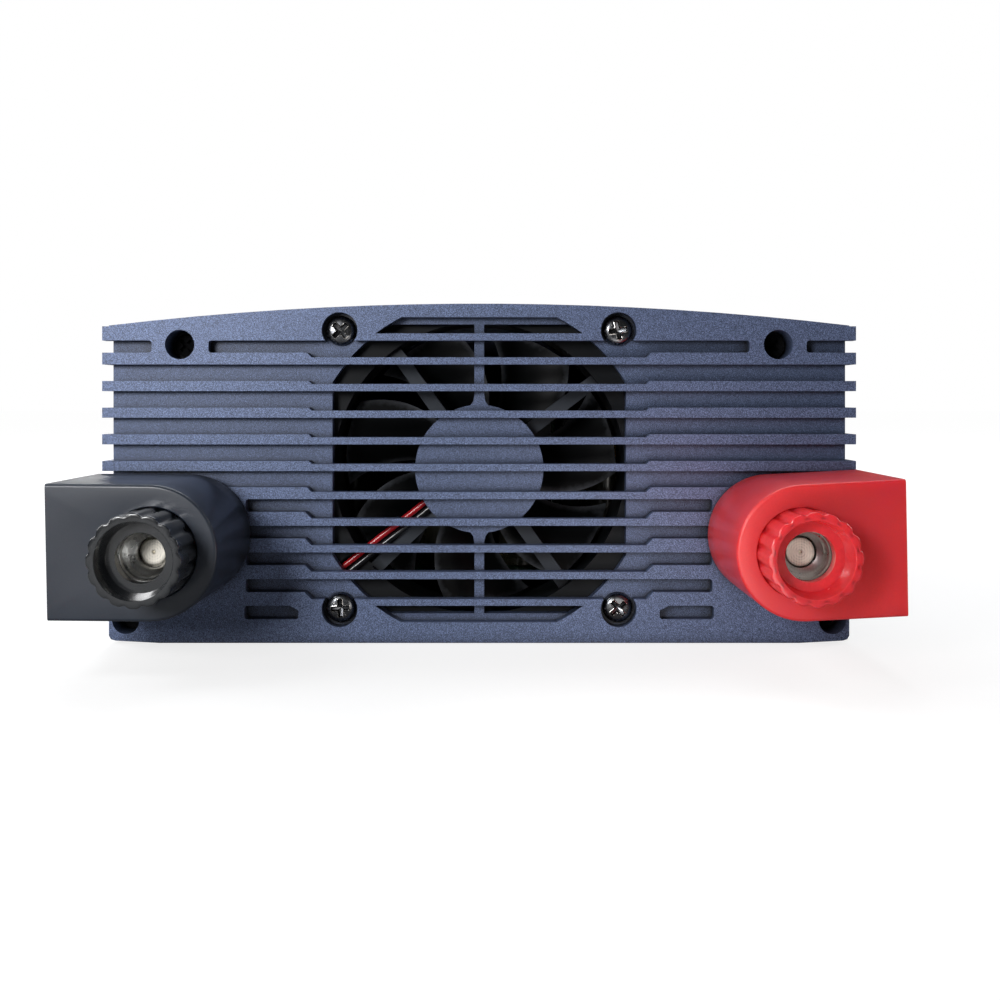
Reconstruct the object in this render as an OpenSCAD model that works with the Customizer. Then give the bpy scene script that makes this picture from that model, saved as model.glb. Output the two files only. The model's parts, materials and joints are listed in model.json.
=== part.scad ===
// Power inverter with an arched aluminium case, a fan and two battery terminals at the DC end,
// and the mains outlets at the AC end. Millimetres.
// +X is right when facing the DC end, +Y runs from the DC end to the AC end, +Z is up.
// The origin is the centre of the base plate's underside.

/* [Case] */
// Length of the case over both end panels
case_l = 400; // [390:5:420]
// Width over the ends of the ribs
case_w = 222.8; // [222.4:0.2:223.2]
// Height at the crown of the arched top
case_h = 100.3; // [100.3:0.1:101]
// Height lost from the crown to the ends of the arch
arch_rise = 6.7; // [6.4:0.1:6.8]
// How far the side fins stand out of the side wall
fin_d = 2; // [1.5:0.1:2]
// Thickness of the sheet metal base plate
base_t = 2; // [2]

/* [End panels] */
// Depth of each cast end panel
panel_d = 14; // [14:0.5:16]
// Depth of the grooves between the ribs
groove_d = 4.2; // [3.5:0.1:4.5]
// Thickness of the panel behind the ribs
plate_t = 4; // [4]
// Distance from one rib to the next
rib_pitch = 7.88; // [7.8:0.01:7.9]
// Thickness of a rib where it crosses the fan opening
rib_t = 2.1; // [1.8:0.1:2.3]
// Half width over which the ribs are thin
rib_step_x = 49.5; // [49:0.5:51]

/* [Fan] */
// Side of the square fan frame
fan_size = 92; // [92]
// Distance between the fan's screw holes
fan_pitch = 82.5; // [82.5]
// Depth of the fan frame
fan_d = 25; // [25]
// Height of the fan's axis
fan_z = 51.2; // [51:0.1:51.3]
// Number of blades
blades = 7; // [5:1:7]

/* [Terminals] */
// Distance of each stud from the centre plane
stud_x = 84.6; // [84:0.2:85]
// Height of the studs
stud_z = 32.1; // [32:0.1:33]
// Radius of each stud's thread, M8
stud_r = 4; // [4]
// How far each stud stands out of the panel
stud_out = 40; // [38:1:41]
// How far each boot stands out of the panel
boot_out = 43; // [42:1:44]
// Radius of the boot's round end
boot_r = 17.8; // [17.6:0.1:18]
// How far the boot's round end is centred outwards of the stud
boot_off = 0.6; // [0.4:0.1:0.8]
// How far each boot reaches outwards from the centre of its round end
boot_reach = [26.9, 26.2]; // [26:0.1:27.2]
// Wall of the boot
boot_t = 2.2; // [1.8:0.1:2.2]
// How far each soft boot sits turned on its stud, in degrees
boot_turn = [-0.5, 3]; // [0:0.5:3]
// Length of a terminal knob
knob_l = 26; // [24:1:26]
// Radius of a terminal knob over its lobes
knob_r = 11.9; // [11.5:0.1:12]
// Number of grooves round a knob
knob_grooves = 16; // [12:1:18]

/* [AC end] */
// Half width of the raised field that carries the outlets
field_x = 79; // [78:1:79]
// Height of the outlets' centres
outlet_z = 60; // [58:1:61]
// Distance of each outlet from the centre plane
outlet_x = 21; // [21:0.5:22]

/* [Mounting] */
// Distance between the ears' slots across the case
ear_span_x = 233; // [233]
// Distance between the ears' slots along the case
ear_span_y = 260; // [240:10:280]
// Half width of a slot, for an M5 screw
ear_slot_r = 2.75; // [2.75]
// Length of a slot, end to end
ear_slot_l = 9; // [8:0.5:9]

/* [Hidden] */
$fn = 48;

half_w = case_w / 2;
core_x = half_w - fin_d;
arch_r = (half_w * half_w + arch_rise * arch_rise) / (2 * arch_rise);
plate_back = groove_d + plate_t;
rib_count = 9;
lowest_rib_z = 11;
band_top_z = 89.4;
band_low_z = 15;
corner_r = 0.9;
land_x = [80, 96.8];
pad_x = 69;
pad_top_z = 46;
hole_top = [88.5, 88.2];
hole_low = [104.4, 6.6];
access_top_r = 4.35;
access_low_r = 4;
access_d = 10;
port_r = 1.7;
wall_t = 3;
rail_x = 97;
opening_r = 50.9;
opening_x = 43.9;
opening_h = 43.2;
window_r = 50.6;
window_h = 45.1;
window_rib_z = 91.5;
hub_r = 19.2;
mullion_w = 2.9;
bore_r = 44;
strut_angles = [37, 126, 224, 306];
strut_d = 2.4;
strut_t = 3;
bushing_r = 8.4;
collar_r = 8;
collar_d = 12;
flange_d = 9;
knob_front_negative = 58;
knob_front_positive = 56;
insert_r = 7.2;
washer_t = 1.6;
board_z = 12;
board_t = 1.6;
board_top = board_z + board_t;
board_x = 95.5;
board_y = [-150, 158];
spreader_y = [-130, 140];
rocker_at = [58, 66];
rocker_tilt = 10;
rocker_pivot_d = 5;
breaker_at = [-60, 46];
ground_at = [-60, 20];
jack_at = [58, 18];
usb_at = [58, 38];
led_x = -60;
led_z = [66, 75];
led_r = 2.5;

// ---------- placing helpers ----------

// Extrudes a face drawing, in X and height, from depth d0 to d1 behind the DC end's front.
module dc_slab(d0, d1) {
    translate([0, d1 - case_l / 2, 0]) rotate([90, 0, 0]) linear_extrude(d1 - d0) children();
}

// The same from the AC end's front, with the depth counted inwards.
module ac_slab(d0, d1) {
    translate([0, case_l / 2 - d0, 0]) rotate([90, 0, 0]) linear_extrude(d1 - d0) children();
}

// A round bar along Y, by its depths behind the DC end's front.
module dc_rod(x, z, r, d0, d1, r_end = 0) {
    translate([x, d0 - case_l / 2, z]) rotate([-90, 0, 0])
        cylinder(r1 = r, r2 = r_end > 0 ? r_end : r, h = d1 - d0);
}

// The same, by depths inwards from the AC end's front.
module ac_rod(x, z, r, d0, d1) {
    translate([x, case_l / 2 - d1, z]) rotate([-90, 0, 0]) cylinder(r = r, h = d1 - d0);
}

module both_sides() {
    children();
    mirror([1, 0, 0]) children();
}

module box(x, y, z) {
    translate([x[0], y[0], z[0]]) cube([x[1] - x[0], y[1] - y[0], z[1] - z[0]]);
}

module rect(x, z) {
    translate([x[0], z[0]]) square([x[1] - x[0], z[1] - z[0]]);
}

module round_rect(x, z, r) {
    rect([x[0] + r, x[1] - r], z);
    rect(x, [z[0] + r, z[1] - r]);
    for (i = [0, 1], k = [0, 1])
        translate([x[i] + (i == 0 ? r : -r), z[k] + (k == 0 ? r : -r)]) circle(r);
}

// A tube swept along a route of points, with its rings square to the route.
function unit(v) = v / norm(v);
function heading(p, i) =
    unit(p[min(i + 1, len(p) - 1)] - p[max(i - 1, 0)]);
function side_of(t) = unit(cross(t, abs(t[2]) < 0.9 ? [0, 0, 1] : [0, 1, 0]));
function ring(c, t, r, n) =
    let (a = side_of(t), b = cross(t, a))
    [for (k = [0 : n - 1]) c + r * (cos(360 * k / n) * a + sin(360 * k / n) * b)];

module tube(route, r, n = 8) {
    last = len(route) - 1;
    points = [for (i = [0 : last]) each ring(route[i], heading(route, i), r, n)];
    walls = [for (i = [0 : last - 1], k = [0 : n - 1])
        [i * n + k, i * n + (k + 1) % n, (i + 1) * n + (k + 1) % n, (i + 1) * n + k]];
    caps = [[for (k = [n - 1 : -1 : 0]) k], [for (k = [0 : n - 1]) last * n + k]];
    polyhedron(points, concat(walls, caps));
}

// ---------- case profile ----------

module arch(r_less = 0) {
    translate([0, case_h - arch_r]) circle(arch_r - r_less, $fn = 256);
}

module outline(x) {
    intersection() {
        arch();
        polygon([
            [-x, 120], [x, 120], [x, 2.2], [x - 0.6, 1.1], [x - 2, 0.7], [x - 15, 0],
            [15 - x, 0], [2 - x, 0.7], [0.6 - x, 1.1], [-x, 2.2]
        ]);
    }
}

function rib_z(i) = lowest_rib_z + (rib_count + 1 - i) * rib_pitch + (i <= 5 ? 0.4 : 0);
function rib_outer_t(i) = i == 1 ? 3.5 : i <= 5 ? 3 : i == 6 ? 3.5 : 4.1;

// A bar of height t that thins to thin between the two slopes beside the fan.
module stepped_bar(x, z, t, thin) {
    out = rib_step_x + t - thin;
    polygon([
        [-x, z], [x, z], [x, z + t], [out, z + t], [rib_step_x, z + thin],
        [-rib_step_x, z + thin], [-out, z + t], [-x, z + t]
    ]);
}

module rib(i, x, stepped = true) {
    t = rib_outer_t(i);
    stepped_bar(x, rib_z(i), t, stepped ? rib_t : t);
}

// The radius in a groove's square corner at [x, z]; sx and sz point into the groove.
module corner(x, z, sx, sz) {
    translate([x, z]) scale([sx, sz]) difference() {
        translate([-0.2, -0.2]) square(corner_r + 0.2);
        translate([corner_r, corner_r]) circle(corner_r);
    }
}

module side_fins() {
    for (i = [1 : 5], s = [-1, 1])
        translate([s > 0 ? core_x : -half_w, rib_z(i)]) square([fin_d, rib_outer_t(i)]);
}

module access_holes() {
    both_sides() {
        translate(hole_top) circle(access_top_r);
        translate(hole_low) circle(access_low_r);
    }
}

module panel_holes() {
    both_sides() {
        translate(hole_top) circle(2.2);
        translate(hole_low) circle(2.2);
    }
}

// The ribbed front of a panel, which both panels share: bands, ribs and the land round each top hole.
module ribbed_face(stepped) {
    intersection() {
        outline(core_x);
        union() {
            rect([-120, 120], [band_top_z, 110]);
            stepped_bar(120, 0, band_low_z, stepped ? band_low_z - rib_t : band_low_z);
            both_sides() {
                rect(land_x, [rib_z(1), band_top_z + 1]);
                for (k = [0, 1]) {
                    corner(land_x[k], band_top_z, 2 * k - 1, -1);
                    corner(land_x[k], rib_z(1) + rib_outer_t(1), 2 * k - 1, 1);
                }
            }
        }
    }
    for (i = [1 : rib_count]) rib(i, i <= 5 ? half_w : core_x, stepped);
    both_sides() rect([core_x - 1, half_w], [band_top_z, arch_end_z]);
}
arch_end_z = case_h - arch_rise;

// The hollow of the case, which is higher over the fan, from height z0 up.
module case_inside(z0) {
    intersection() {
        arch(3.4);
        rect([wall_t - core_x, core_x - wall_t], [z0, 110]);
    }
    intersection() {
        arch(2);
        rect([-49, 49], [z0, 110]);
    }
}

// The skirt that closes each panel onto the case, with a boss behind each access hole.
module panel_skirt() {
    difference() {
        union() {
            difference() {
                outline(core_x);
                case_inside(3);
            }
            both_sides() {
                translate(hole_top) circle(6.5);
                rect([98, core_x - 1], [1.5, 12]);
            }
            side_fins();
        }
        panel_holes();
    }
}

// ---------- end panels ----------

module fan_cut(r, h) {
    intersection() {
        translate([0, fan_z]) circle(r);
        rect([-opening_x, opening_x], [fan_z - h, fan_z + h]);
    }
}

module hub_and_mullion() {
    translate([0, fan_z]) circle(hub_r);
    rect([-mullion_w / 2, mullion_w / 2], [fan_z - opening_h - 1, fan_z + opening_h + 1]);
    for (s = [-1, 1])
        translate([0, fan_z]) scale([1, s])
            polygon([[-3.2, hub_r - 1], [3.2, hub_r - 1], [1.8, hub_r + 1], [mullion_w / 2, hub_r + 3],
                [-mullion_w / 2, hub_r + 3], [-1.8, hub_r + 1]]);
}

module fan_screw_places() {
    for (x = [-1, 1], z = [-1, 1])
        translate([x * fan_pitch / 2, fan_z + z * fan_pitch / 2]) children();
}

// A blind pocket low on each side of the fan, with its upper corner nearest the fan cut off.
module low_pockets() {
    both_sides() difference() {
        polygon([[53.4, 7], [69.4, 7], [69.4, 11], [56, 11], [53.4, 9.6]]);
        corner(69.4, 7, -1, 1);
        corner(69.4, 11, -1, -1);
        corner(53.4, 7, 1, 1);
    }
}

// The raised land round each terminal, with a radius where each groove runs into it.
module terminal_lands() {
    intersection() {
        outline(core_x);
        both_sides() {
            rect([pad_x, core_x], [0, pad_top_z]);
            for (i = [7 : rib_count + 1]) {
                top = i > rib_count ? band_low_z : rib_z(i) + rib_outer_t(i);
                corner(pad_x, rib_z(i - 1), -1, -1);
                corner(pad_x, top, -1, 1);
            }
        }
    }
}

module dc_face() {
    difference() {
        union() {
            ribbed_face(true);
            terminal_lands();
        }
        access_holes();
        fan_screw_places() circle(5.3);
        low_pockets();
        difference() {
            fan_cut(window_r, window_h);
            rect([-60, 60], [lowest_rib_z, window_rib_z]);
        }
        both_sides() translate([stud_x, stud_z]) circle(bushing_r + 0.1);
    }
}

module dc_end_panel() color("#56617d") {
    dc_slab(0, groove_d) dc_face();
    dc_slab(groove_d, plate_back) difference() {
        union() {
            outline(core_x);
            side_fins();
        }
        difference() {
            fan_cut(opening_r, opening_h);
            hub_and_mullion();
        }
        access_holes();
        fan_screw_places() circle(2.3);
        both_sides() translate([stud_x, stud_z]) circle(bushing_r + 0.1);
    }
    dc_slab(plate_back, access_d) difference() {
        panel_skirt();
        access_holes();
    }
    dc_slab(access_d, panel_d) panel_skirt();
}

module outlet_places() {
    for (s = [-1, 1]) translate([s * outlet_x, outlet_z]) children();
}

module ac_cutouts() {
    outlet_places() rect([-17, 17], [-14, 14]);
    translate(rocker_at) rect([-10, 10], [-14, 14]);
    translate(breaker_at) circle(5.6);
    translate(ground_at) circle(3.1);
    translate(jack_at) rect([-7, 7], [-6, 6]);
    translate(usb_at) rect([-7.5, 7.5], [-7.5, 7.5]);
    for (z = led_z) translate([led_x, z]) circle(led_r + 0.05);
    for (i = [0 : 3]) round_rect([-40, 40], [13 + 7 * i, 17 + 7 * i], 1.9);
}

module ac_end_panel() color("#56617d") {
    ac_slab(0, groove_d) difference() {
        union() {
            ribbed_face(false);
            rect([-field_x, field_x], [8, 92]);
            both_sides() rect([field_x - 1, land_x[0] + 1], [rib_z(1), band_top_z + 1]);
        }
        access_holes();
        ac_cutouts();
    }
    ac_slab(groove_d, plate_back) difference() {
        union() {
            outline(core_x);
            side_fins();
        }
        access_holes();
        ac_cutouts();
    }
    ac_slab(plate_back, access_d) difference() {
        panel_skirt();
        access_holes();
    }
    ac_slab(access_d, panel_d) panel_skirt();
}

// ---------- case ----------

module shell_profile() {
    difference() {
        union() {
            difference() {
                intersection() {
                    outline(core_x);
                    rect([-120, 120], [base_t, 120]);
                }
                case_inside(0);
            }
            both_sides() {
                rect([rail_x, core_x - 1], [base_t, 11.5]);
                translate(hole_top) circle(4.4);
                rect([86.5, 90.5], [hole_top[1], 94]);
            }
            side_fins();
            for (i = [6 : rib_count], s = [-1, 1])
                translate([s > 0 ? core_x - 1 : -half_w, rib_z(i)]) square([fin_d + 1, 3]);
        }
        both_sides() {
            translate(hole_top) circle(port_r);
            translate(hole_low) circle(port_r);
            for (x = [54 : 6 : 102]) rect([x, x + 2.6], [arch_z(x) - 1.3, 110]);
        }
    }
}
function arch_z(x) = case_h - arch_r + sqrt(arch_r * arch_r - x * x);

shell_y = case_l / 2 - panel_d;
base_screw_y = [-150, -50, 50, 150];
base_screw_x = 100.2;

module base_screw_places() {
    for (s = [-1, 1], y = base_screw_y) translate([s * base_screw_x, y, 0]) children();
}

module top_shell() color("#56617d") difference() {
    dc_slab(panel_d, case_l - panel_d) shell_profile();
    base_screw_places() translate([0, 0, base_t - 1]) cylinder(r = 1.55, h = 8);
}

ear_w = 26;
ear_x = 124;
module ear_outline() {
    translate([case_w / 2 - 14, -ear_w / 2]) square([ear_x - case_w / 2 + 9, ear_w]);
    translate([case_w / 2 - 14, 5 - ear_w / 2]) square([ear_x - case_w / 2 + 14, ear_w - 10]);
    for (s = [-1, 1]) translate([ear_x - 5, s * (ear_w / 2 - 5)]) circle(5);
}

module ear_slot() {
    half = ear_slot_l / 2 - ear_slot_r;
    translate([-half, -ear_slot_r, -1]) cube([2 * half, 2 * ear_slot_r, base_t + 2]);
    for (s = [-1, 1]) translate([s * half, 0, -1]) cylinder(r = ear_slot_r, h = base_t + 2);
}

module base_plate() color("#2b2d31") difference() {
    union() {
        box([-108.4, 108.4], [-shell_y, shell_y], [0, base_t]);
        for (y = [-1, 1])
            both_sides() translate([0, y * ear_span_y / 2, 0]) linear_extrude(base_t) ear_outline();
    }
    for (x = [-1, 1], y = [-1, 1])
        translate([x * ear_span_x / 2, y * ear_span_y / 2, 0])
            ear_slot();
    base_screw_places() {
        translate([0, 0, -1]) cylinder(r = 1.7, h = base_t + 2);
        translate([0, 0, -0.01]) cylinder(r1 = 3.3, r2 = 1.7, h = 1.6);
    }
    standoff_places() translate([0, 0, -1]) cylinder(r = 1.6, h = base_t + 2);
}

module base_screws() color("#1c1c1f") base_screw_places() {
    translate([0, 0, 0.02]) cylinder(r1 = 3.2, r2 = 1.6, h = 1.55);
    cylinder(r = 1.5, h = 8.5);
}

// A cross recess for a driver, cut into a head whose top faces along -Y at the origin.
module cross_recess(reach) {
    for (a = [45, 135])
        rotate([0, a, 0]) translate([-reach, -1, -0.55]) cube([2 * reach, 2.4, 1.1]);
}

module panel_screws() {
    both_sides() for (p = [hole_top, hole_low]) difference() {
        union() {
            dc_rod(p[0], p[1], 1.65, access_d - 0.5, 28);
            dc_rod(p[0], p[1], 3.4, access_d - 2.4, access_d);
        }
        translate([p[0], access_d - 2.4 - case_l / 2, p[1]]) cross_recess(2.2);
    }
}

module dc_panel_screws() color("#1c1c1f") panel_screws();

module ac_panel_screws() color("#1c1c1f") mirror([0, 1, 0]) panel_screws();

// ---------- fan ----------

fan_front = plate_back;
fan_back = fan_front + fan_d;
strut_front = fan_front + strut_d;
strut_back = strut_front + strut_t;
tube_end = fan_front + 19;

module fan_square() {
    h = fan_size / 2;
    round_rect([-h, h], [fan_z - h, fan_z + h], 4);
}

module fan_flange(d0) {
    dc_slab(d0, d0 + 4) difference() {
        fan_square();
        translate([0, fan_z]) circle(bore_r);
        fan_screw_places() circle(1.9);
    }
}

module at_fan(angle = 0) {
    translate([0, -case_l / 2, fan_z]) rotate([0, -angle, 0]) children();
}

module lead_channel() {
    at_fan(218) translate([30, fan_front - 1, -3.6]) cube([34, strut_d + 1, 7.2]);
}

module fan_frame() color("#17181a") {
    difference() {
        union() {
            fan_flange(fan_front);
            fan_flange(fan_back - 4);
            difference() {
                dc_rod(0, fan_z, bore_r + 1.6, fan_front, fan_back);
                dc_rod(0, fan_z, bore_r, fan_front - 1, fan_back + 1);
            }
        }
        lead_channel();
    }
    dc_rod(0, fan_z, 17.5, strut_front - 0.4, strut_back + 0.2);
    for (a = strut_angles)
        at_fan(a) translate([16, strut_front, -2]) cube([bore_r - 15, strut_t, 4]);
    difference() {
        dc_rod(0, fan_z, 5, strut_back - 0.5, tube_end);
        dc_rod(0, fan_z, 4, strut_back, tube_end + 1);
    }
}

shaft_r = 1.5;
module fan_bearings() color("#b9bcc0") {
    for (d = [strut_back + 1, tube_end - 4.2]) difference() {
        dc_rod(0, fan_z, 4, d, d + 3.2);
        dc_rod(0, fan_z, shaft_r + 0.05, d - 1, d + 5);
    }
}

// Four wound poles round the bearing tube.
module fan_stator() color("#a65a2a") difference() {
    union() {
        dc_rod(0, fan_z, 7.5, strut_back + 1.6, tube_end - 2.4);
        for (a = [0 : 90 : 270]) at_fan(a + 45) {
            translate([7, strut_back + 2.2, -2.5]) cube([5.5, 9, 5]);
            translate([12, strut_back + 1.8, -5]) cube([1.8, 9.8, 10]);
        }
    }
    dc_rod(0, fan_z, 5, strut_back, tube_end + 1);
}

cup_r = 18.5;
cup_front = strut_back + 1;
cup_back = fan_back - 2;

module fan_rotor() color("#131416") {
    difference() {
        dc_rod(0, fan_z, cup_r, cup_front, cup_back);
        dc_rod(0, fan_z, cup_r - 1.6, cup_front - 1, cup_back - 2);
        dc_rod(0, fan_z, shaft_r, cup_front, cup_back - 1);
    }
    intersection() {
        difference() {
            dc_rod(0, fan_z, bore_r - 1.2, cup_front + 0.5, cup_back - 0.5);
            dc_rod(0, fan_z, cup_r - 0.5, cup_front, cup_back);
        }
        union() {
            for (k = [0 : blades - 1])
                at_fan(k * 360 / blades) translate([cup_r - 1, (cup_front + cup_back) / 2, 0])
                    rotate([38, 0, 0]) translate([0, -15, -0.7]) cube([30, 30, 1.4]);
        }
    }
}

module fan_magnet_ring() color("#3b3d40") difference() {
    dc_rod(0, fan_z, cup_r - 1.6, cup_front + 1, cup_back - 3);
    dc_rod(0, fan_z, cup_r - 3, cup_front, cup_back);
}

module fan_shaft() color("#c8cacd") dc_rod(0, fan_z, shaft_r, strut_back + 0.6, cup_back - 1);

module fan_screws() color("#141416") {
    head_top = groove_d - 2.8;
    for (x = [-1, 1], z = [-1, 1]) difference() {
        union() {
            dc_rod(x * fan_pitch / 2, fan_z + z * fan_pitch / 2, 3.6, head_top, head_top + 0.8, 4.5);
            dc_rod(x * fan_pitch / 2, fan_z + z * fan_pitch / 2, 4.5, head_top + 0.8, groove_d);
            dc_rod(x * fan_pitch / 2, fan_z + z * fan_pitch / 2, 1.85, groove_d - 0.5, fan_front + 12);
        }
        translate([x * fan_pitch / 2, head_top - case_l / 2, fan_z + z * fan_pitch / 2])
            rotate([0, 20 + 40 * x + 15 * z, 0]) cross_recess(2.7);
    }
}

// The fan leads leave the hub along the lower left strut and turn back beside the fan.
lead_r = 0.95;
lead_route = [
    [-13, 9.25, 42.4], [-20, 9.3, 36.6], [-30, 9.35, 28.9], [-40, 9.3, 20.9], [-46, 9.4, 16.6],
    [-49.6, 10.6, 14.6], [-51.4, 13.6, 13.6], [-52, 18, 13], [-52, 24, 13], [-52, 32, 13.4],
    [-53, 38, 15.4], [-55, 43, 18], [-58, 47, 19.4], [-60, 50.5, 19.6], [-60, 54, 19.6]
];
function lead_points(side) =
    [for (p = lead_route) [p[0] - side * 0.7, p[1] - case_l / 2, p[2] + side * 0.9]];

module fan_lead_red() color("#b3161c") tube(lead_points(1), lead_r);

module fan_lead_black() color("#1b1b1d") tube(lead_points(-1), lead_r);

module fan_connector() color("#e9e6da") {
    box([-63.5, -56.5], [54 - case_l / 2, 62 - case_l / 2], [board_top, board_top + 9]);
}

// ---------- terminals ----------

module at_stud(side) {
    translate([side * stud_x, 0, 0]) children();
}

// A D shape round a stud: a round end inwards and a flat end at reach outwards.
module d_shape(side, r, reach) {
    translate([side * boot_off, 0]) {
        circle(r);
        scale([side, 1]) translate([0, -r]) square([reach, 2 * r]);
    }
}

module insulator(side) {
    turn = side < 0 ? boot_turn[0] : boot_turn[1];
    reach = side < 0 ? boot_reach[0] : boot_reach[1];
    difference() {
        union() {
            dc_slab(-flange_d, 0) translate([side * stud_x, stud_z]) rotate(turn)
                d_shape(side, boot_r - boot_t - 0.4, reach - 3);
            dc_rod(side * stud_x, stud_z, bushing_r, -1, plate_back);
        }
        dc_rod(side * stud_x, stud_z, stud_r, -20, 20);
    }
}

module insulator_negative() color("#232427") insulator(-1);

module insulator_positive() color("#232427") insulator(1);

module stud(side) {
    dc_rod(side * stud_x, stud_z, stud_r, 0.7 - stud_out, 24);
    dc_rod(side * stud_x, stud_z, stud_r - 0.7, -stud_out, 0.7 - stud_out, stud_r);
    dc_rod(side * stud_x, stud_z, collar_r, -collar_d, -flange_d);
}

module stud_negative() color("#c9bf9c") stud(-1);

module stud_positive() color("#c9bf9c") stud(1);

module ring_on_stud(r, d0, d1) {
    both_sides() difference() {
        dc_rod(stud_x, stud_z, r, d0, d1);
        dc_rod(stud_x, stud_z, stud_r, d0 - 1, d1 + 1);
    }
}

module stud_insulating_washers() color("#d8d2bd") ring_on_stud(12, plate_back, 10.2);

module stud_lock_washers() color("#b9bcc0") ring_on_stud(7.2, 12.2, 14);

module stud_nuts() color("#c9cbce") both_sides() difference() {
    translate([stud_x, 14 - case_l / 2, stud_z]) rotate([-90, 0, 0]) cylinder(r = 7.5, h = 6.5, $fn = 6);
    dc_rod(stud_x, stud_z, stud_r, 13, 22);
}

// A copper bar from the stud down to the board.
module busbar(side) difference() {
    union() {
        dc_slab(10.2, 12.2) translate([side * stud_x, 0]) rect([-8, 8], [17, 40]);
        dc_slab(12.2, 57) translate([side * stud_x, 0]) rect([-8, 8], [17, 19]);
        dc_slab(55, 57) translate([side * stud_x, 0]) rect([-8, 8], [board_top, 17]);
    }
    dc_rod(side * stud_x, stud_z, stud_r, 9, 13);
}

module busbar_negative() color("#b87333") busbar(-1);

module busbar_positive() color("#b87333") busbar(1);

// A soft hood with a round hole for the knob and an open flat end for the cable.
module boot(side, turn, reach) {
    module face() translate([side * stud_x, stud_z]) rotate(turn) children();
    dc_slab(-boot_out, -0.4) face() difference() {
        d_shape(side, boot_r, reach);
        d_shape(side, boot_r - boot_t, reach + 1);
    }
    dc_slab(-boot_out, boot_t - boot_out) face() difference() {
        d_shape(side, boot_r, reach);
        circle(knob_r + 0.2);
    }
}

module boot_negative() color("#26272a") boot(-1, boot_turn[0], boot_reach[0]);

module boot_positive() color("#c2202c") boot(1, boot_turn[1], boot_reach[1]);

module knob(side, front) {
    translate([0, -front, 0]) difference() {
        dc_slab(0, knob_l) difference() {
            translate([side * stud_x, stud_z]) circle(knob_r);
            for (k = [0 : knob_grooves - 1])
                translate([side * stud_x, stud_z]) rotate(360 * k / knob_grooves)
                    translate([knob_r + 0.9, 0]) circle(1.6);
        }
        dc_rod(side * stud_x, stud_z, 9.95, -0.2, 5, 8.8);
        dc_rod(side * stud_x, stud_z, 8.6, 4.9, 8, 6.5);
        dc_rod(side * stud_x, stud_z, 6.4, 0, 12);
        dc_rod(side * stud_x, stud_z, insert_r, 9.5, knob_l + 1);
    }
}

module knob_negative() color("#1d1e21") knob(-1, knob_front_negative);

module knob_positive() color("#cf2330") knob(1, knob_front_positive);

// The metal insert: a wide mouth, then the bore that runs on the stud's thread.
module knob_insert(side, front) {
    translate([0, -front, 0]) difference() {
        dc_rod(side * stud_x, stud_z, insert_r, 9.5, knob_l);
        dc_rod(side * stud_x, stud_z, 6, 9, 15);
        dc_rod(side * stud_x, stud_z, stud_r + 0.05, 10, knob_l + 1);
    }
}

module knob_insert_negative() color("#b9b6ab") knob_insert(-1, knob_front_negative);

module knob_insert_positive() color("#b9b6ab") knob_insert(1, knob_front_positive);

module clamp_washer(side, front) {
    back = knob_l - front;
    difference() {
        dc_rod(side * stud_x, stud_z, 10, back, back + washer_t);
        dc_rod(side * stud_x, stud_z, stud_r + 0.3, back - 1, back + washer_t + 1);
    }
}

module clamp_washer_negative() color("#bfc1c4") clamp_washer(-1, knob_front_negative);

module clamp_washer_positive() color("#bfc1c4") clamp_washer(1, knob_front_positive);

// ---------- power electronics ----------

module standoff_places() {
    for (x = [-88, 0, 88], y = [-140, 145]) translate([x, y, 0]) children();
}

module main_board() color("#1f5a38") difference() {
    box([-board_x, board_x], board_y, [board_z, board_top]);
    standoff_places() translate([0, 0, board_z - 1]) cylinder(r = 1.6, h = 4);
}

module board_standoffs() color("#c8a951") standoff_places() difference() {
    translate([0, 0, base_t]) cylinder(r = 3, h = board_z - base_t);
    translate([0, 0, 0]) cylinder(r = 1.5, h = board_z + 1);
}

module board_screws() color("#c9cbce") standoff_places() {
    translate([0, 0, 7]) cylinder(r = 1.5, h = board_top - 7);
    translate([0, 0, board_top]) cylinder(r = 2.8, h = 1.8);
    cylinder(r = 1.5, h = 6);
}

cap_r = 9;
cap_h = 34;
module input_capacitors() color("#2a3d6b") {
    for (x = [-45, -15, 15, 45], y = [-128, -106]) translate([x, y, board_top])
        rotate_extrude() polygon([
            [0, 0], [cap_r - 0.6, 0], [cap_r, 0.6], [cap_r, 3], [cap_r - 0.8, 3.8], [cap_r, 4.6],
            [cap_r, cap_h - 0.8], [cap_r - 0.8, cap_h], [0, cap_h]
        ]);
}

module blade_fuses() color("#d9a514") {
    for (x = [-70, 70], k = [0 : 2]) translate([x, -118 + 9 * k, board_top]) {
        translate([-9.5, -2.5, 4]) cube([19, 5, 12]);
        for (s = [-7, 3]) translate([s, -0.4, 0]) cube([4, 0.8, 5]);
    }
}

core_at = [[-60, -58], [0, -58], [60, -58]];
core_w = 55;
core_h = 50;
core_d = 22;
leg_w = 17;
window_w = 9.5;
yoke_h = 7;

module core_places() {
    for (p = core_at) translate([p[0], p[1], board_top]) children();
}

module transformer_cores() color("#33353a") core_places()
    translate([0, core_d / 2, 0]) rotate([90, 0, 0]) linear_extrude(core_d) difference() {
        translate([-core_w / 2, 0]) square([core_w, core_h]);
        for (s = [-1, 1])
            translate([s * (leg_w + window_w) / 2 - window_w / 2, yoke_h])
                square([window_w, core_h - 2 * yoke_h]);
    }

module transformer_windings() color("#c9992b") core_places()
    translate([0, 0, yoke_h]) linear_extrude(core_h - 2 * yoke_h) difference() {
        w = leg_w / 2 + window_w - 0.6;
        d = core_d / 2 + window_w;
        round_rect([-w, w], [-d, d], 6);
        translate([-leg_w / 2, -core_d / 2]) square([leg_w, core_d]);
    }

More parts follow.
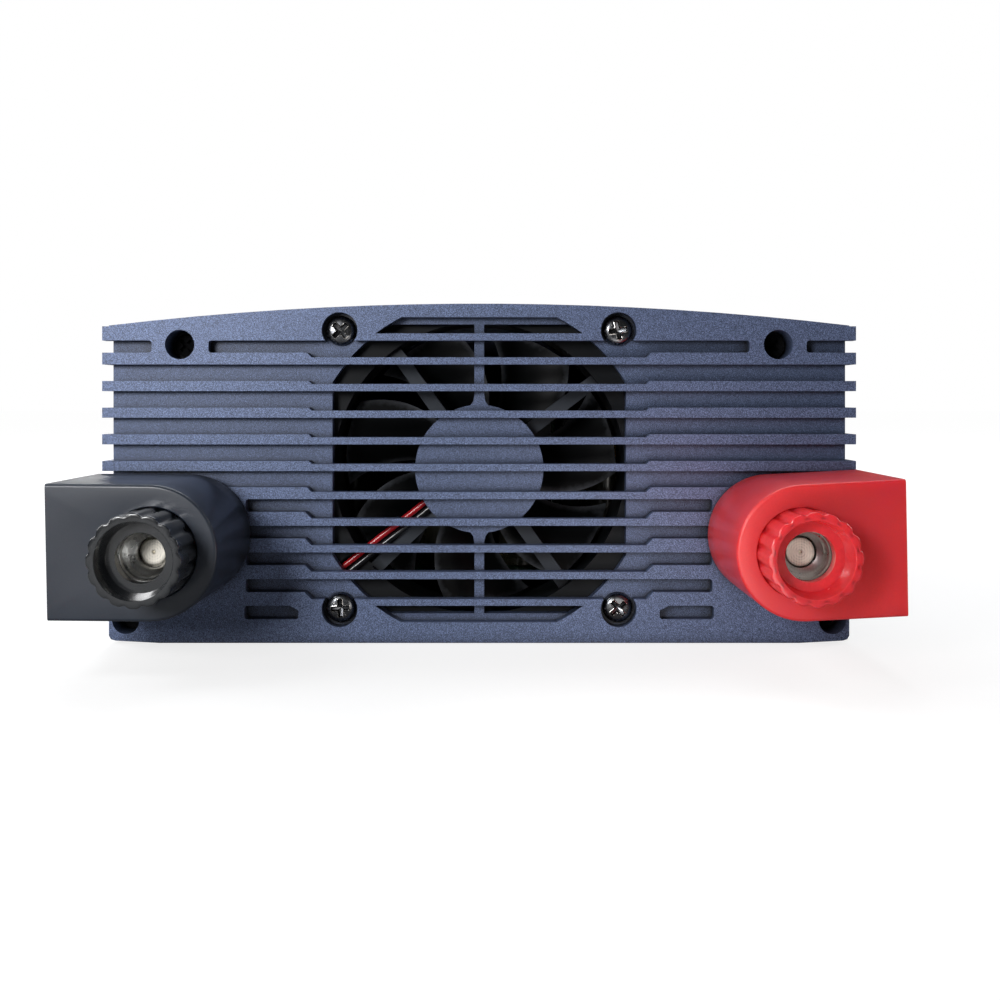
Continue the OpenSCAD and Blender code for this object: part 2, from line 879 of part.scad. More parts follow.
spreader_x = [98.8, core_x - wall_t];
spreader_z = [14, 50];
module heat_spreaders() color("#a9adb3") both_sides()
    box(spreader_x, spreader_y, spreader_z);

transistor_y = [-112 : 28 : 112];
module transistor_places() {
    both_sides() for (y = transistor_y) translate([spreader_x[0], y, 0]) children();
}

module power_transistors() color("#1b1b1d") transistor_places() {
    translate([-4.8, -8, 22]) cube([4.8, 16, 20]);
    for (k = [-1, 0, 1]) translate([-5, k * 5.4 - 0.6, board_top]) cube([0.8, 1.2, 9.4]);
}

module transistor_clamps() color("#c4c7cb") both_sides() {
    box([spreader_x[0] - 6, spreader_x[0] - 4.8], [spreader_y[0] + 8, spreader_y[1] - 18], [28, 36]);
    for (y = [-98 : 56 : 126])
        translate([spreader_x[0] - 7.6, y, 32]) rotate([0, 90, 0]) {
            cylinder(r = 3, h = 1.6);
            translate([0, 0, 1]) cylinder(r = 1.6, h = 6.6);
        }
}

module bus_capacitors() color("#23252b") {
    for (x = [-20, 14]) translate([x, 20, board_top])
        rotate_extrude() polygon([
            [0, 0], [14.4, 0], [15, 0.6], [15, 3], [14.2, 3.8], [15, 4.6], [15, 41], [14, 42], [0, 42]
        ]);
}

choke_at = [-40, 92, 23.6];
choke_r = 17;
module choke_core() color("#3c6e52") translate(choke_at)
    rotate_extrude() translate([choke_r - 5, -6]) square([10, 12]);

module choke_winding() color("#b8692f") translate(choke_at) rotate_extrude() difference() {
    round_rect([choke_r - 8, choke_r + 8], [-9, 9], 3);
    rect([choke_r - 5, choke_r + 5], [-6, 6]);
}

module control_board() color("#235e3d") {
    box([34, 35.6], [60, 132], [board_top, 62]);
    for (y = [70, 92, 114]) box([35.6, 38], [y, y + 10], [30, 44]);
    box([35.6, 43.6], [66, 126], [board_top, 19]);
}

// ---------- AC end ----------

ac_face = case_l / 2;

module ac_wires() color("#202124") {
    for (k = [-1, 0, 1]) tube([
        [k * 8 - 30, 150, board_top], [k * 8 - 30, 150, 20], [k * 8 - 30, 151, 30],
        [k * 7 - 28, 154, 40], [k * 6 - 25, 159, 50], [k * 5 - 22, 164, 56], [k * 5 - 21, 169, 59],
        [k * 5 - 21, 173, 60], [k * 5 - 21, 175.6, 60]
    ], 1.6);
    for (k = [-1, 0, 1]) tube([
        [k * 8 + 12, 150, board_top], [k * 8 + 12, 150, 20], [k * 8 + 12, 151, 30],
        [k * 7 + 15, 154, 40], [k * 6 + 18, 159, 50], [k * 5 + 20, 164, 56], [k * 5 + 21, 169, 59],
        [k * 5 + 21, 173, 60], [k * 5 + 21, 175.6, 60]
    ], 1.6);
}

// A three-pin socket's face: two upright slots over a round earth hole.
module socket_holes(grow = 0) {
    translate([-6.35, 1]) square([1.8 + grow, 8 + grow], center = true);
    translate([6.35, 1]) square([1.8 + grow, 6.6 + grow], center = true);
    translate([0, -8]) circle(2.6 + grow / 2);
}

module ac_outlets() color("#1a1b1d") {
    outlet_d = ac_face - 175.6;
    ac_slab(-1.6, 0) outlet_places() difference() {
        round_rect([-19, 19], [-16, 16], 3);
        socket_holes();
    }
    ac_slab(0, 5) outlet_places() difference() {
        round_rect([-16.8, 16.8], [-13.8, 13.8], 2);
        socket_holes();
    }
    ac_slab(5, outlet_d - 3) outlet_places() difference() {
        round_rect([-16.8, 16.8], [-13.8, 13.8], 2);
        socket_holes(1.4);
    }
    ac_slab(outlet_d - 3, outlet_d) outlet_places() round_rect([-16.8, 16.8], [-13.8, 13.8], 2);
}

module outlet_contacts() color("#c8a951") ac_slab(6, ac_face - 178.6) outlet_places() difference() {
    socket_holes(1.4);
    socket_holes(0.4);
}

module rocker_opening() {
    round_rect([-8, 8], [-12, 12], 1);
}

module rocker_housing() color("#151618") {
    ac_slab(-1.8, 0) translate(rocker_at) difference() {
        round_rect([-11.5, 11.5], [-15.5, 15.5], 2);
        rocker_opening();
    }
    difference() {
        ac_slab(0, 16) translate(rocker_at) difference() {
            rect([-9.9, 9.9], [-13.9, 13.9]);
            rocker_opening();
        }
        translate([rocker_at[0] - 9, ac_face - rocker_pivot_d, rocker_at[1]])
            rotate([0, 90, 0]) cylinder(r = 1.55, h = 18);
    }
    ac_slab(16, 19) translate(rocker_at) rect([-9.9, 9.9], [-13.9, 13.9]);
    for (z = [-9, 0, 9]) ac_slab(19, 27) translate(rocker_at) rect([-3, 3], [z - 0.4, z + 0.4]);
}

// The rocker, drawn level and then tipped to its off side.
module power_rocker() color("#8e1519")
    translate([rocker_at[0], ac_face - rocker_pivot_d, rocker_at[1]]) rotate([rocker_tilt, 0, 0]) {
        translate([-7.6, 0, 0]) rotate([90, 0, 90]) linear_extrude(15.2) polygon([
            [-4, -6], [2, -10], [7.2, -10.5], [5.4, 0], [7.2, 10.5], [2, 10], [-4, 6]
        ]);
        translate([-8.9, 0, 0]) rotate([0, 90, 0]) cylinder(r = 1.5, h = 17.8);
    }

module breaker_body() color("#17181a") difference() {
    union() {
        ac_rod(breaker_at[0], breaker_at[1], 5.5, -5, 9);
        ac_rod(breaker_at[0], breaker_at[1], 8, -2.2, 0);
        translate([breaker_at[0], 0, breaker_at[1]])
            box([-8, 8], [ac_face - 36, ac_face - plate_back], [-8, 8]);
    }
    ac_rod(breaker_at[0], breaker_at[1], 3.6, -6, 12);
}

module breaker_button() color("#e6e3dc") {
    ac_rod(breaker_at[0], breaker_at[1], 3.3, -7.5, 11.5);
}

module usb_port() color("#b9bcc0") difference() {
    ac_slab(-0.6, 20) translate(usb_at) rect([-7.4, 7.4], [-7.4, 7.4]);
    ac_slab(-2, 14) translate(usb_at) for (z = [-6.2, 1]) difference() {
        rect([-6.1, 6.1], [z, z + 5.2]);
        rect([-5.2, 5.2], [z + 2.4, z + 4.2]);
    }
}

module remote_jack() color("#1b1c1e") difference() {
    ac_slab(-0.8, 18) translate(jack_at) rect([-6.9, 6.9], [-5.9, 5.9]);
    ac_slab(-2, 12) translate(jack_at) {
        rect([-4.9, 4.9], [-3.4, 3.4]);
        rect([-2, 2], [-4.8, 0]);
    }
}

module status_leds() color("#3fae5a") for (z = led_z) {
    ac_rod(led_x, z, led_r, 0, 12);
    translate([led_x, ac_face, z]) sphere(led_r);
}

// The ground stud has a fine neck beyond its nut, where the free end for a ring lug begins.
module ground_stud() color("#c8a951") {
    ac_rod(ground_at[0], ground_at[1], 3, -6.6, 14);
    ac_rod(ground_at[0], ground_at[1], 2.75, -7.6, -6.5);
    ac_rod(ground_at[0], ground_at[1], 3, -13.5, -7.4);
    ac_rod(ground_at[0], ground_at[1], 2.6, -14, -13.4);
    translate([ground_at[0], ac_face - plate_back, ground_at[1]]) rotate([90, 0, 0])
        cylinder(r = 5.8, h = 4, $fn = 6);
}

module ground_nut() color("#c9cbce") difference() {
    union() {
        ac_rod(ground_at[0], ground_at[1], 6.4, -1.6, 0);
        translate([ground_at[0], ac_face + 6.6, ground_at[1]]) rotate([90, 0, 0])
            cylinder(r = 5.8, h = 5, $fn = 6);
    }
    ac_rod(ground_at[0], ground_at[1], 3, -10, 1);
}

dc_end_panel();
ac_end_panel();
top_shell();
base_plate();
dc_panel_screws();
ac_panel_screws();
base_screws();
fan_frame();
fan_bearings();
fan_stator();
fan_rotor();
fan_magnet_ring();
fan_shaft();
fan_screws();
fan_lead_red();
fan_lead_black();
fan_connector();
insulator_negative();
insulator_positive();
stud_negative();
stud_positive();
stud_insulating_washers();
stud_lock_washers();
stud_nuts();
busbar_negative();
busbar_positive();
boot_negative();
boot_positive();
knob_negative();
knob_positive();
knob_insert_negative();
knob_insert_positive();
clamp_washer_negative();
clamp_washer_positive();
main_board();
board_standoffs();
board_screws();
input_capacitors();
blade_fuses();
transformer_cores();
transformer_windings();
heat_spreaders();
power_transistors();
transistor_clamps();
bus_capacitors();
choke_core();
choke_winding();
control_board();
ac_wires();
ac_outlets();
outlet_contacts();
rocker_housing();
power_rocker();
breaker_body();
breaker_button();
usb_port();
remote_jack();
status_leds();
ground_stud();
ground_nut();
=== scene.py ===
"""Looks of the power inverter: materials, detailed pieces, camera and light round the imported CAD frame."""

import json
import math

import bmesh
import bpy
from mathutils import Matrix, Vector


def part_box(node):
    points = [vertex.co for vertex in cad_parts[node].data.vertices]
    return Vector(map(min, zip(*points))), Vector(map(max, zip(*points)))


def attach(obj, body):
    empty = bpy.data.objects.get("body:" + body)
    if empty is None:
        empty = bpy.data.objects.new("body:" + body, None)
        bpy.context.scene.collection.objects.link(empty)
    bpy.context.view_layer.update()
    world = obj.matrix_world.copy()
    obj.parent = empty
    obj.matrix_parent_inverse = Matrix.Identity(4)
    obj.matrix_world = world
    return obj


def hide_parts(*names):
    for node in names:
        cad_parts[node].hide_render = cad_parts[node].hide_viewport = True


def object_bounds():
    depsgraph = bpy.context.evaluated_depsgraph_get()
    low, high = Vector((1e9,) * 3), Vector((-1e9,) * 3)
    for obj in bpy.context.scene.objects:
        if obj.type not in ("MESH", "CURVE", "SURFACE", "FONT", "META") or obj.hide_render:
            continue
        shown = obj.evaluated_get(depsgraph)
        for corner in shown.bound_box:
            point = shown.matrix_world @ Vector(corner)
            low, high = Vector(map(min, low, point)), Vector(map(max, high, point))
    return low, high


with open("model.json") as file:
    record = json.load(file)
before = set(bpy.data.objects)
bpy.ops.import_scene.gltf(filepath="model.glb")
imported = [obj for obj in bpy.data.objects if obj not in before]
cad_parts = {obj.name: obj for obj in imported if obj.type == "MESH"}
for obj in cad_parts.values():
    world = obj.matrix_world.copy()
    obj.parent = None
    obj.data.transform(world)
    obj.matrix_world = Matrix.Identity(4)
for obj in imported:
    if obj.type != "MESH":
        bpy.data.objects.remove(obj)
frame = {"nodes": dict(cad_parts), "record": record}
CAD_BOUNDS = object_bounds()
NODES = frame["nodes"]
MM = 0.001

# ---------- places and sizes, in millimetres unless a name says otherwise ----------

# Depths count from FRONT, the plane of the DC end's ribs, towards the AC end.
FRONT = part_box("dc_end_panel")[0].y / MM
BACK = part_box("ac_end_panel")[1].y / MM
OUTWARD = {"negative": -1, "positive": 1}
COLOUR = {"negative": "black", "positive": "red"}
STUD = {side: sum(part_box(f"stud_{side}"), Vector()) / 2 / MM for side in OUTWARD}
KNOB_FRONT = {side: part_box(f"knob_{side}")[0].y / MM - FRONT for side in OUTWARD}
BOOT_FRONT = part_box("boot_negative")[0].y / MM - FRONT
STUD_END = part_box("stud_negative")[0].y / MM - FRONT
STUD_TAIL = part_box("stud_negative")[1].y / MM - FRONT

# A boot: its turn in degrees on its stud, the radius of its round end, how far that end's centre is off the
# stud, its mean reach, the slant of its end, its wall, its rear edge's depth and the steps across its end.
BOOT_TURN = {"negative": -0.5, "positive": 3.0}
BOOT_R = 17.8
BOOT_OFF = 0.6
BOOT_REACH = {"negative": 26.55, "positive": 26.4}
BOOT_SLANT = {"negative": 0.5, "positive": 0.6}
BOOT_WALL = 2.2
BOOT_BACK = -0.4
END_STEPS = 14

KNOB_R = 11.9
KNOB_LENGTH = 26.0
KNOB_LOBES = 16
LOBE_ROOT_R = 10.7
LOBE_DEPTH = 0.6
RECESS_DEPTH = 6.0
INSERT_R = 7.15
INSERT_MOUTH_R = 5.7
INSERT_BORE_R = 4.1
STUD_R = 4.0
THREAD_PITCH = 1.25

FAN_LOW, FAN_HIGH = (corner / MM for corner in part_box("fan_frame"))
FAN_Z = (FAN_LOW.z + FAN_HIGH.z) / 2


# ---------- mesh helpers ----------

def new_piece(name, verts, faces, body, slot, replaces=(), sharp=35):
    """A mesh piece in millimetres that rides on a body, takes a material slot and may replace CAD nodes."""
    mesh = bpy.data.meshes.new(name)
    mesh.from_pydata([Vector(v) * MM for v in verts], [], faces)
    shape = bmesh.new()
    shape.from_mesh(mesh)
    bmesh.ops.remove_doubles(shape, verts=shape.verts, dist=1e-7)
    bmesh.ops.recalc_face_normals(shape, faces=shape.faces)
    shape.to_mesh(mesh)
    shape.free()
    mesh.shade_smooth()
    mesh.set_sharp_from_angle(angle=math.radians(sharp))
    obj = bpy.data.objects.new(name, mesh)
    bpy.context.scene.collection.objects.link(obj)
    mesh.materials.append(MATERIALS[slot])
    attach(obj, body)
    if replaces:
        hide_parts(*replaces)
    return obj


class Shape:
    """Vertices and faces gathered from several lofts."""

    def __init__(self):
        self.verts = []
        self.faces = []

    def loft(self, rings, ends="open", closed=True):
        """Quads between rings of points. ends is open, loop (the last ring meets the first) or fan (a point
        caps each end)."""
        base = len(self.verts)
        count = len(rings[0])
        for ring in rings:
            self.verts.extend(ring)
        pairs = [(i, i + 1) for i in range(len(rings) - 1)]
        if ends == "loop":
            pairs.append((len(rings) - 1, 0))
        for i, j in pairs:
            for k in range(count if closed else count - 1):
                m = (k + 1) % count
                self.faces.append((base + i * count + k, base + i * count + m,
                                   base + j * count + m, base + j * count + k))
        if ends == "fan":
            for i in (0, len(rings) - 1):
                middle = sum((Vector(p) for p in rings[i]), Vector()) / count
                self.verts.append(middle)
                tip = len(self.verts) - 1
                for k in range(count):
                    self.faces.append((base + i * count + k, base + i * count + (k + 1) % count, tip))
        return self

    def piece(self, name, body, slot, replaces=(), sharp=35):
        return new_piece(name, self.verts, self.faces, body, slot, replaces, sharp)


def round_axis(x, z, depth, radius, angle):
    """A point at a depth behind the front, at a radius and an angle (radians from +X towards +Z) round an
    axis along Y."""
    return (x + radius * math.cos(angle), FRONT + depth, z + radius * math.sin(angle))


def turned_rings(x, z, profile, steps=64, shape=None):
    """Rings round an axis along Y. profile lists (radius, depth), and shape(angle, radius, depth) may change
    a radius."""
    rings = []
    for radius, depth in profile:
        ring = []
        for k in range(steps):
            angle = 2 * math.pi * k / steps
            r = shape(angle, radius, depth) if shape else radius
            ring.append(round_axis(x, z, depth, r, angle))
        rings.append(ring)
    return rings


def arc_points(centre, radius, start, end, steps):
    """Points of an arc in a plane, by angles in degrees."""
    return [(centre[0] + radius * math.cos(math.radians(start + (end - start) * k / steps)),
             centre[1] + radius * math.sin(math.radians(start + (end - start) * k / steps)))
            for k in range(steps + 1)]


def soften(node, width, angle=35, segments=2):
    """Rounds a CAD node's sharp edges by modifiers, and leaves its mesh as it is."""
    obj = NODES[node]
    weld = obj.modifiers.new("weld", "WELD")
    weld.merge_threshold = 2e-6
    planar = obj.modifiers.new("planar", "DECIMATE")
    planar.decimate_type = "DISSOLVE"
    planar.angle_limit = math.radians(0.5)
    bevel = obj.modifiers.new("bevel", "BEVEL")
    bevel.width = width * MM
    bevel.segments = segments
    bevel.limit_method = "ANGLE"
    bevel.angle_limit = math.radians(angle)
    bevel.use_clamp_overlap = True
    normals = obj.modifiers.new("normals", "WEIGHTED_NORMAL")
    normals.weight = 60
    normals.keep_sharp = False


def soften_cad_nodes():
    """Small radii on the carried-over nodes whose edges show."""
    soften("dc_end_panel", 0.26)
    soften("ac_end_panel", 0.26)
    soften("top_shell", 0.25)
    for node in ("fan_frame", "ac_outlets", "rocker_housing", "breaker_body", "insulator_negative",
                 "insulator_positive", "base_plate"):
        soften(node, 0.3)


# ---------- materials ----------

class Finish:
    """A Principled material built from textures in the object's own space, with sizes in millimetres."""

    def __init__(self, name, roughness=0.5, metallic=0.0, **sockets):
        self.material = bpy.data.materials.new(name)
        self.material.use_nodes = True
        self.tree = self.material.node_tree
        self.shader = self.tree.nodes["Principled BSDF"]
        self.shader.inputs["Roughness"].default_value = roughness
        self.shader.inputs["Metallic"].default_value = metallic
        for socket, value in sockets.items():
            self.shader.inputs[socket.replace("_", " ")].default_value = value
        self.place = self.add("ShaderNodeTexCoord").outputs["Object"]
        self.normal = None

    def add(self, kind, **settings):
        node = self.tree.nodes.new(kind)
        for key, value in settings.items():
            setattr(node, key, value)
        return node

    def link(self, a, b):
        self.tree.links.new(a, b)

    def space(self, stretch=(1, 1, 1), turn=(0, 0, 0), shift=(0, 0, 0)):
        mapping = self.add("ShaderNodeMapping")
        mapping.inputs["Scale"].default_value = stretch
        mapping.inputs["Rotation"].default_value = [math.radians(a) for a in turn]
        mapping.inputs["Location"].default_value = [v * MM for v in shift]
        self.link(self.place, mapping.inputs["Vector"])
        return mapping.outputs["Vector"]

    def noise(self, size, detail=2.0, stretch=(1, 1, 1), rough=0.5):
        node = self.add("ShaderNodeTexNoise")
        node.inputs["Scale"].default_value = 1 / (size * MM)
        node.inputs["Detail"].default_value = detail
        node.inputs["Roughness"].default_value = rough
        self.link(self.space(stretch), node.inputs["Vector"])
        return node.outputs["Fac"]

    def cells(self, size, feature="F1"):
        node = self.add("ShaderNodeTexVoronoi", feature=feature)
        node.inputs["Scale"].default_value = 1 / (size * MM)
        self.link(self.place, node.inputs["Vector"])
        return node.outputs["Distance"]

    def rings(self, centre, size, distortion=0.6):
        """Turning rings round an axis along Y through a centre in millimetres."""
        node = self.add("ShaderNodeTexWave", wave_type="RINGS", rings_direction="Y")
        node.inputs["Scale"].default_value = 1 / (size * MM) / 6.3
        node.inputs["Distortion"].default_value = distortion
        node.inputs["Detail"].default_value = 2
        self.link(self.space(shift=(-centre[0], 0, -centre[1])), node.inputs["Vector"])
        return node.outputs["Fac"]

    def bands(self, size, direction="Z", distortion=0.0):
        node = self.add("ShaderNodeTexWave", wave_type="BANDS", bands_direction=direction)
        node.inputs["Scale"].default_value = 1 / (size * MM) / 6.3
        node.inputs["Distortion"].default_value = distortion
        self.link(self.place, node.inputs["Vector"])
        return node.outputs["Fac"]

    def mix(self, a, b, share=0.5):
        node = self.add("ShaderNodeMix", data_type="FLOAT")
        node.inputs[0].default_value = share
        self.link(a, node.inputs[2])
        self.link(b, node.inputs[3])
        return node.outputs[0]

    def tones(self, factor, *stops):
        """Base colour from a factor: stops are (position, (r, g, b)) in linear light."""
        ramp = self.add("ShaderNodeValToRGB")
        while len(ramp.color_ramp.elements) < len(stops):
            ramp.color_ramp.elements.new(0.5)
        for element, (at, colour) in zip(ramp.color_ramp.elements, stops):
            element.position = at
            element.color = (*colour, 1)
        self.link(factor, ramp.inputs["Fac"])
        self.link(ramp.outputs["Color"], self.shader.inputs["Base Color"])
        return self

    def gloss(self, factor, low, high):
        """Roughness from low to high as the factor goes from 0.3 to 0.7."""
        node = self.add("ShaderNodeMapRange")
        node.inputs["From Min"].default_value = 0.3
        node.inputs["From Max"].default_value = 0.7
        node.inputs["To Min"].default_value = low
        node.inputs["To Max"].default_value = high
        self.link(factor, node.inputs["Value"])
        self.link(node.outputs["Result"], self.shader.inputs["Roughness"])
        return self

    def paint_shade_in_recesses(self, reach, deepest, low=0.3, high=0.95):
        """Painted shade: darkens the base colour in recesses and corners, down to the deepest share of it. The
        open space within a reach in millimetres runs from 0 to 1: the darkening is full at low and ends at
        high."""
        space = self.add("ShaderNodeAmbientOcclusion", samples=4)
        space.inputs["Distance"].default_value = reach * MM
        share = self.add("ShaderNodeMapRange")
        share.inputs["From Min"].default_value = low
        share.inputs["From Max"].default_value = high
        share.inputs["To Min"].default_value = deepest
        self.link(space.outputs["AO"], share.inputs["Value"])
        scaled = self.add("ShaderNodeVectorMath", operation="SCALE")
        self.link(self.shader.inputs["Base Color"].links[0].from_socket, scaled.inputs[0])
        self.link(share.outputs["Result"], scaled.inputs["Scale"])
        self.link(scaled.outputs["Vector"], self.shader.inputs["Base Color"])
        return self

    def relief(self, factor, height, strength=1.0):
        """Bump of a height in millimetres, on top of any earlier one."""
        node = self.add("ShaderNodeBump")
        node.inputs["Distance"].default_value = height * MM
        node.inputs["Strength"].default_value = strength
        self.link(factor, node.inputs["Height"])
        if self.normal:
            self.link(self.normal, node.inputs["Normal"])
        self.normal = node.outputs["Normal"]
        self.link(self.normal, self.shader.inputs["Normal"])
        return self


def shades(colour, *factors):
    """The colour multiplied by each factor."""
    return [tuple(c * f for c in colour) for f in factors]


def powder_coat(name, colour, metallic=0.2, roughness=0.42):
    """Fine textured powder coat with dark and bright specks, and painted shade that darkens it in deep holes,
    grooves and corners.
    """
    f = Finish(name, metallic=metallic)
    grain = f.noise(0.17, 1)
    flake = f.noise(0.3, 1)
    dark, mid, light = shades(colour, 0.2, 0.97, 2.7)
    f.tones(f.mix(grain, flake, 0.15), (0.28, dark), (0.5, mid), (0.72, light))
    # Painted shade at three reaches: deep holes, grooves, and the corners along each rib.
    f.paint_shade_in_recesses(9, 0.05, 0.1, 0.32)
    f.paint_shade_in_recesses(4.5, 0.2, 0.18, 0.85)
    f.paint_shade_in_recesses(1.1, 0.12, 0.4, 0.8)
    f.gloss(flake, roughness, roughness + 0.14)
    f.relief(grain, 0.025, 0.4)
    return f.material


def worn_black_with_painted_shade(name, colour, edge_colour):
    """Black plated metal, bright where its edges are worn, with painted shade that darkens its creases and
    recesses.
    """
    f = Finish(name, metallic=1.0)
    edges = f.add("ShaderNodeNewGeometry").outputs["Pointiness"]
    marks = f.noise(0.8, 4)
    # Low pointiness, in creases and the cross recess, falls to a tenth of the colour: painted shade.
    f.tones(f.mix(edges, marks, 0.06), (0.46, shades(colour, 0.1)[0]), (0.485, shades(colour, 0.8)[0]),
            (0.515, colour), (0.545, edge_colour))
    f.paint_shade_in_recesses(1.6, 0.02, 0.25, 0.6)
    f.gloss(marks, 0.2, 0.32)
    f.relief(marks, 0.02, 0.35)
    return f.material


def painted_shadow_black(name, colour):
    """Black oxide of screws deep in a hole, painted far darker than the other black screws as painted shade, so
    it gives back almost no light.
    """
    f = Finish(name, roughness=0.9, Specular_IOR_Level=0.05)
    f.tones(f.noise(0.6, 3), (0.35, shades(colour, 0.6)[0]), (0.65, colour))
    f.gloss(f.noise(2, 2), 0.85, 0.98)
    f.relief(f.noise(0.3, 3), 0.03, 0.5)
    return f.material


def moulded(name, colour, low, high, grain=0.5, height=0.02, **sockets):
    """Moulded plastic: faint mottling, a fine surface grain and uneven gloss."""
    f = Finish(name, **sockets)
    cloud = f.noise(14, 3)
    fine = f.noise(grain, 2)
    dark, mid, light = shades(colour, 0.86, 1.0, 1.14)
    f.tones(f.mix(cloud, fine, 0.3), (0.35, dark), (0.5, mid), (0.65, light))
    f.gloss(cloud, low, high)
    f.relief(fine, height, 0.4)
    return f.material


def edged_plastic(name, colour, edge_colour):
    """Dark moulded plastic whose thin edges are painted paler, a painted highlight along them."""
    f = Finish(name, Specular_IOR_Level=0.12)
    edges = f.add("ShaderNodeNewGeometry").outputs["Pointiness"]
    f.tones(f.mix(edges, f.noise(1.5, 3), 0.05), (0.53, colour), (0.6, edge_colour))
    f.gloss(f.noise(14, 3), 0.4, 0.55)
    f.relief(f.noise(0.8, 2), 0.01, 0.4)
    return f.material


def fan_frame_plastic(name, colour):
    """Moulded plastic of the fan's frame: painted light makes the struts in the bore paler, and painted shade
    makes it dark outside the bore.
    """
    f = Finish(name, Specular_IOR_Level=0.16)
    away = f.add("ShaderNodeVectorMath", operation="LENGTH")
    f.link(f.space((1, 0, 1), shift=(0, 0, -FAN_Z)), away.inputs[0])
    inside = f.add("ShaderNodeMapRange")
    inside.inputs["From Min"].default_value = 44.5 * MM
    inside.inputs["From Max"].default_value = 41 * MM
    f.link(away.outputs["Value"], inside.inputs["Value"])
    # Painted shade outside the bore, at 0.22 of the colour, and painted light on the struts inside it, up to
    # 1.6 times.
    f.tones(f.mix(inside.outputs["Result"], f.noise(9, 3), 0.2), (0.2, shades(colour, 0.22)[0]),
            (0.75, colour), (1.0, shades(colour, 1.6)[0]))
    f.gloss(f.noise(14, 3), 0.45, 0.6)
    f.relief(f.noise(0.4, 2), 0.02, 0.4)
    return f.material


def soft_vinyl(name, colour, warm, low, high, translucent, painted_glow, coat, coat_roughness):
    """Dip-moulded vinyl: satin, a little uneven, with light that comes through its thin wall, and a painted
    emission in its own colour that brightens it as if lit.
    """
    f = Finish(name, Subsurface_Weight=translucent, Subsurface_Scale=0.012, Coat_Weight=coat,
               Coat_Roughness=coat_roughness)
    # Painted light: emission of the vinyl's own colour, though it is no lamp.
    f.shader.inputs["Emission Color"].default_value = (*colour, 1)
    f.shader.inputs["Emission Strength"].default_value = painted_glow
    cloud = f.noise(22, 2)
    fine = f.noise(0.55, 2)
    f.tones(f.mix(cloud, fine, 0.22), (0.36, warm), (0.5, colour), (0.66, shades(colour, 1.12)[0]))
    f.gloss(cloud, low, high)
    f.relief(f.noise(6, 2), 0.06, 0.5)
    f.relief(fine, 0.016, 0.35)
    return f.material


def metal(name, colour, low, high, stretch=(1, 1, 1), size=0.5, height=0.01, **sockets):
    """Bare or plated metal with fine drawn or turned marks."""
    f = Finish(name, metallic=1.0, **sockets)
    marks = f.noise(size, 4, stretch)
    stain = f.noise(5, 3)
    dark, mid, light = shades(colour, 0.7, 1.0, 1.12)
    f.tones(f.mix(marks, stain, 0.45), (0.3, dark), (0.5, mid), (0.7, light))
    f.gloss(marks, low, high)
    f.relief(marks, height, 0.5)
    return f.material


def turned_metal(name, colour, low, high, stain_depth, recess_shade=1.0):
    """Plated metal turned on a lathe, with rings round each stud's axis, darker stains, and painted shade in
    its recesses, down to the share given last.
    """
    f = Finish(name, metallic=1.0)
    stain = f.noise(2.2, 3, rough=0.5)
    left, right = (f.rings((STUD[side].x, STUD[side].z), 0.34, 0.5) for side in OUTWARD)
    dark, mid, light = shades(colour, 1 - stain_depth, 0.92, 1.06)
    f.tones(f.mix(stain, f.mix(left, right), 0.3), (0.3, dark), (0.46, mid), (0.7, light))
    # Painted shade in the thread's grooves and the insert's recesses.
    f.paint_shade_in_recesses(0.9, recess_shade, 0.3, 0.85)
    f.gloss(stain, low, high)
    f.relief(left, 0.008, 0.25)
    f.relief(right, 0.008, 0.25)
    f.relief(f.noise(0.3, 2), 0.003, 0.2)
    return f.material


def wound_wire(name, colour, size, direction):
    """Lacquered wire laid side by side."""
    f = Finish(name, metallic=0.6, Coat_Weight=0.6, Coat_Roughness=0.15)
    turns = f.bands(size, direction, 0.4)
    dark, mid, light = shades(colour, 0.35, 0.9, 1.2)
    f.tones(f.mix(turns, f.noise(2), 0.25), (0.2, dark), (0.5, mid), (0.8, light))
    f.gloss(turns, 0.45, 0.25)
    f.relief(turns, 0.3, 0.8)
    return f.material


def circuit_board(name, colour):
    """Solder mask over faint copper tracks."""
    f = Finish(name, Coat_Weight=0.4, Coat_Roughness=0.2)
    tracks = f.cells(6, "DISTANCE_TO_EDGE")
    dark, mid, light = shades(colour, 0.7, 1.0, 1.9)
    f.tones(tracks, (0.05, light), (0.1, mid), (0.6, dark))
    f.gloss(f.noise(3), 0.35, 0.5)
    f.relief(tracks, 0.03, 0.3)
    return f.material


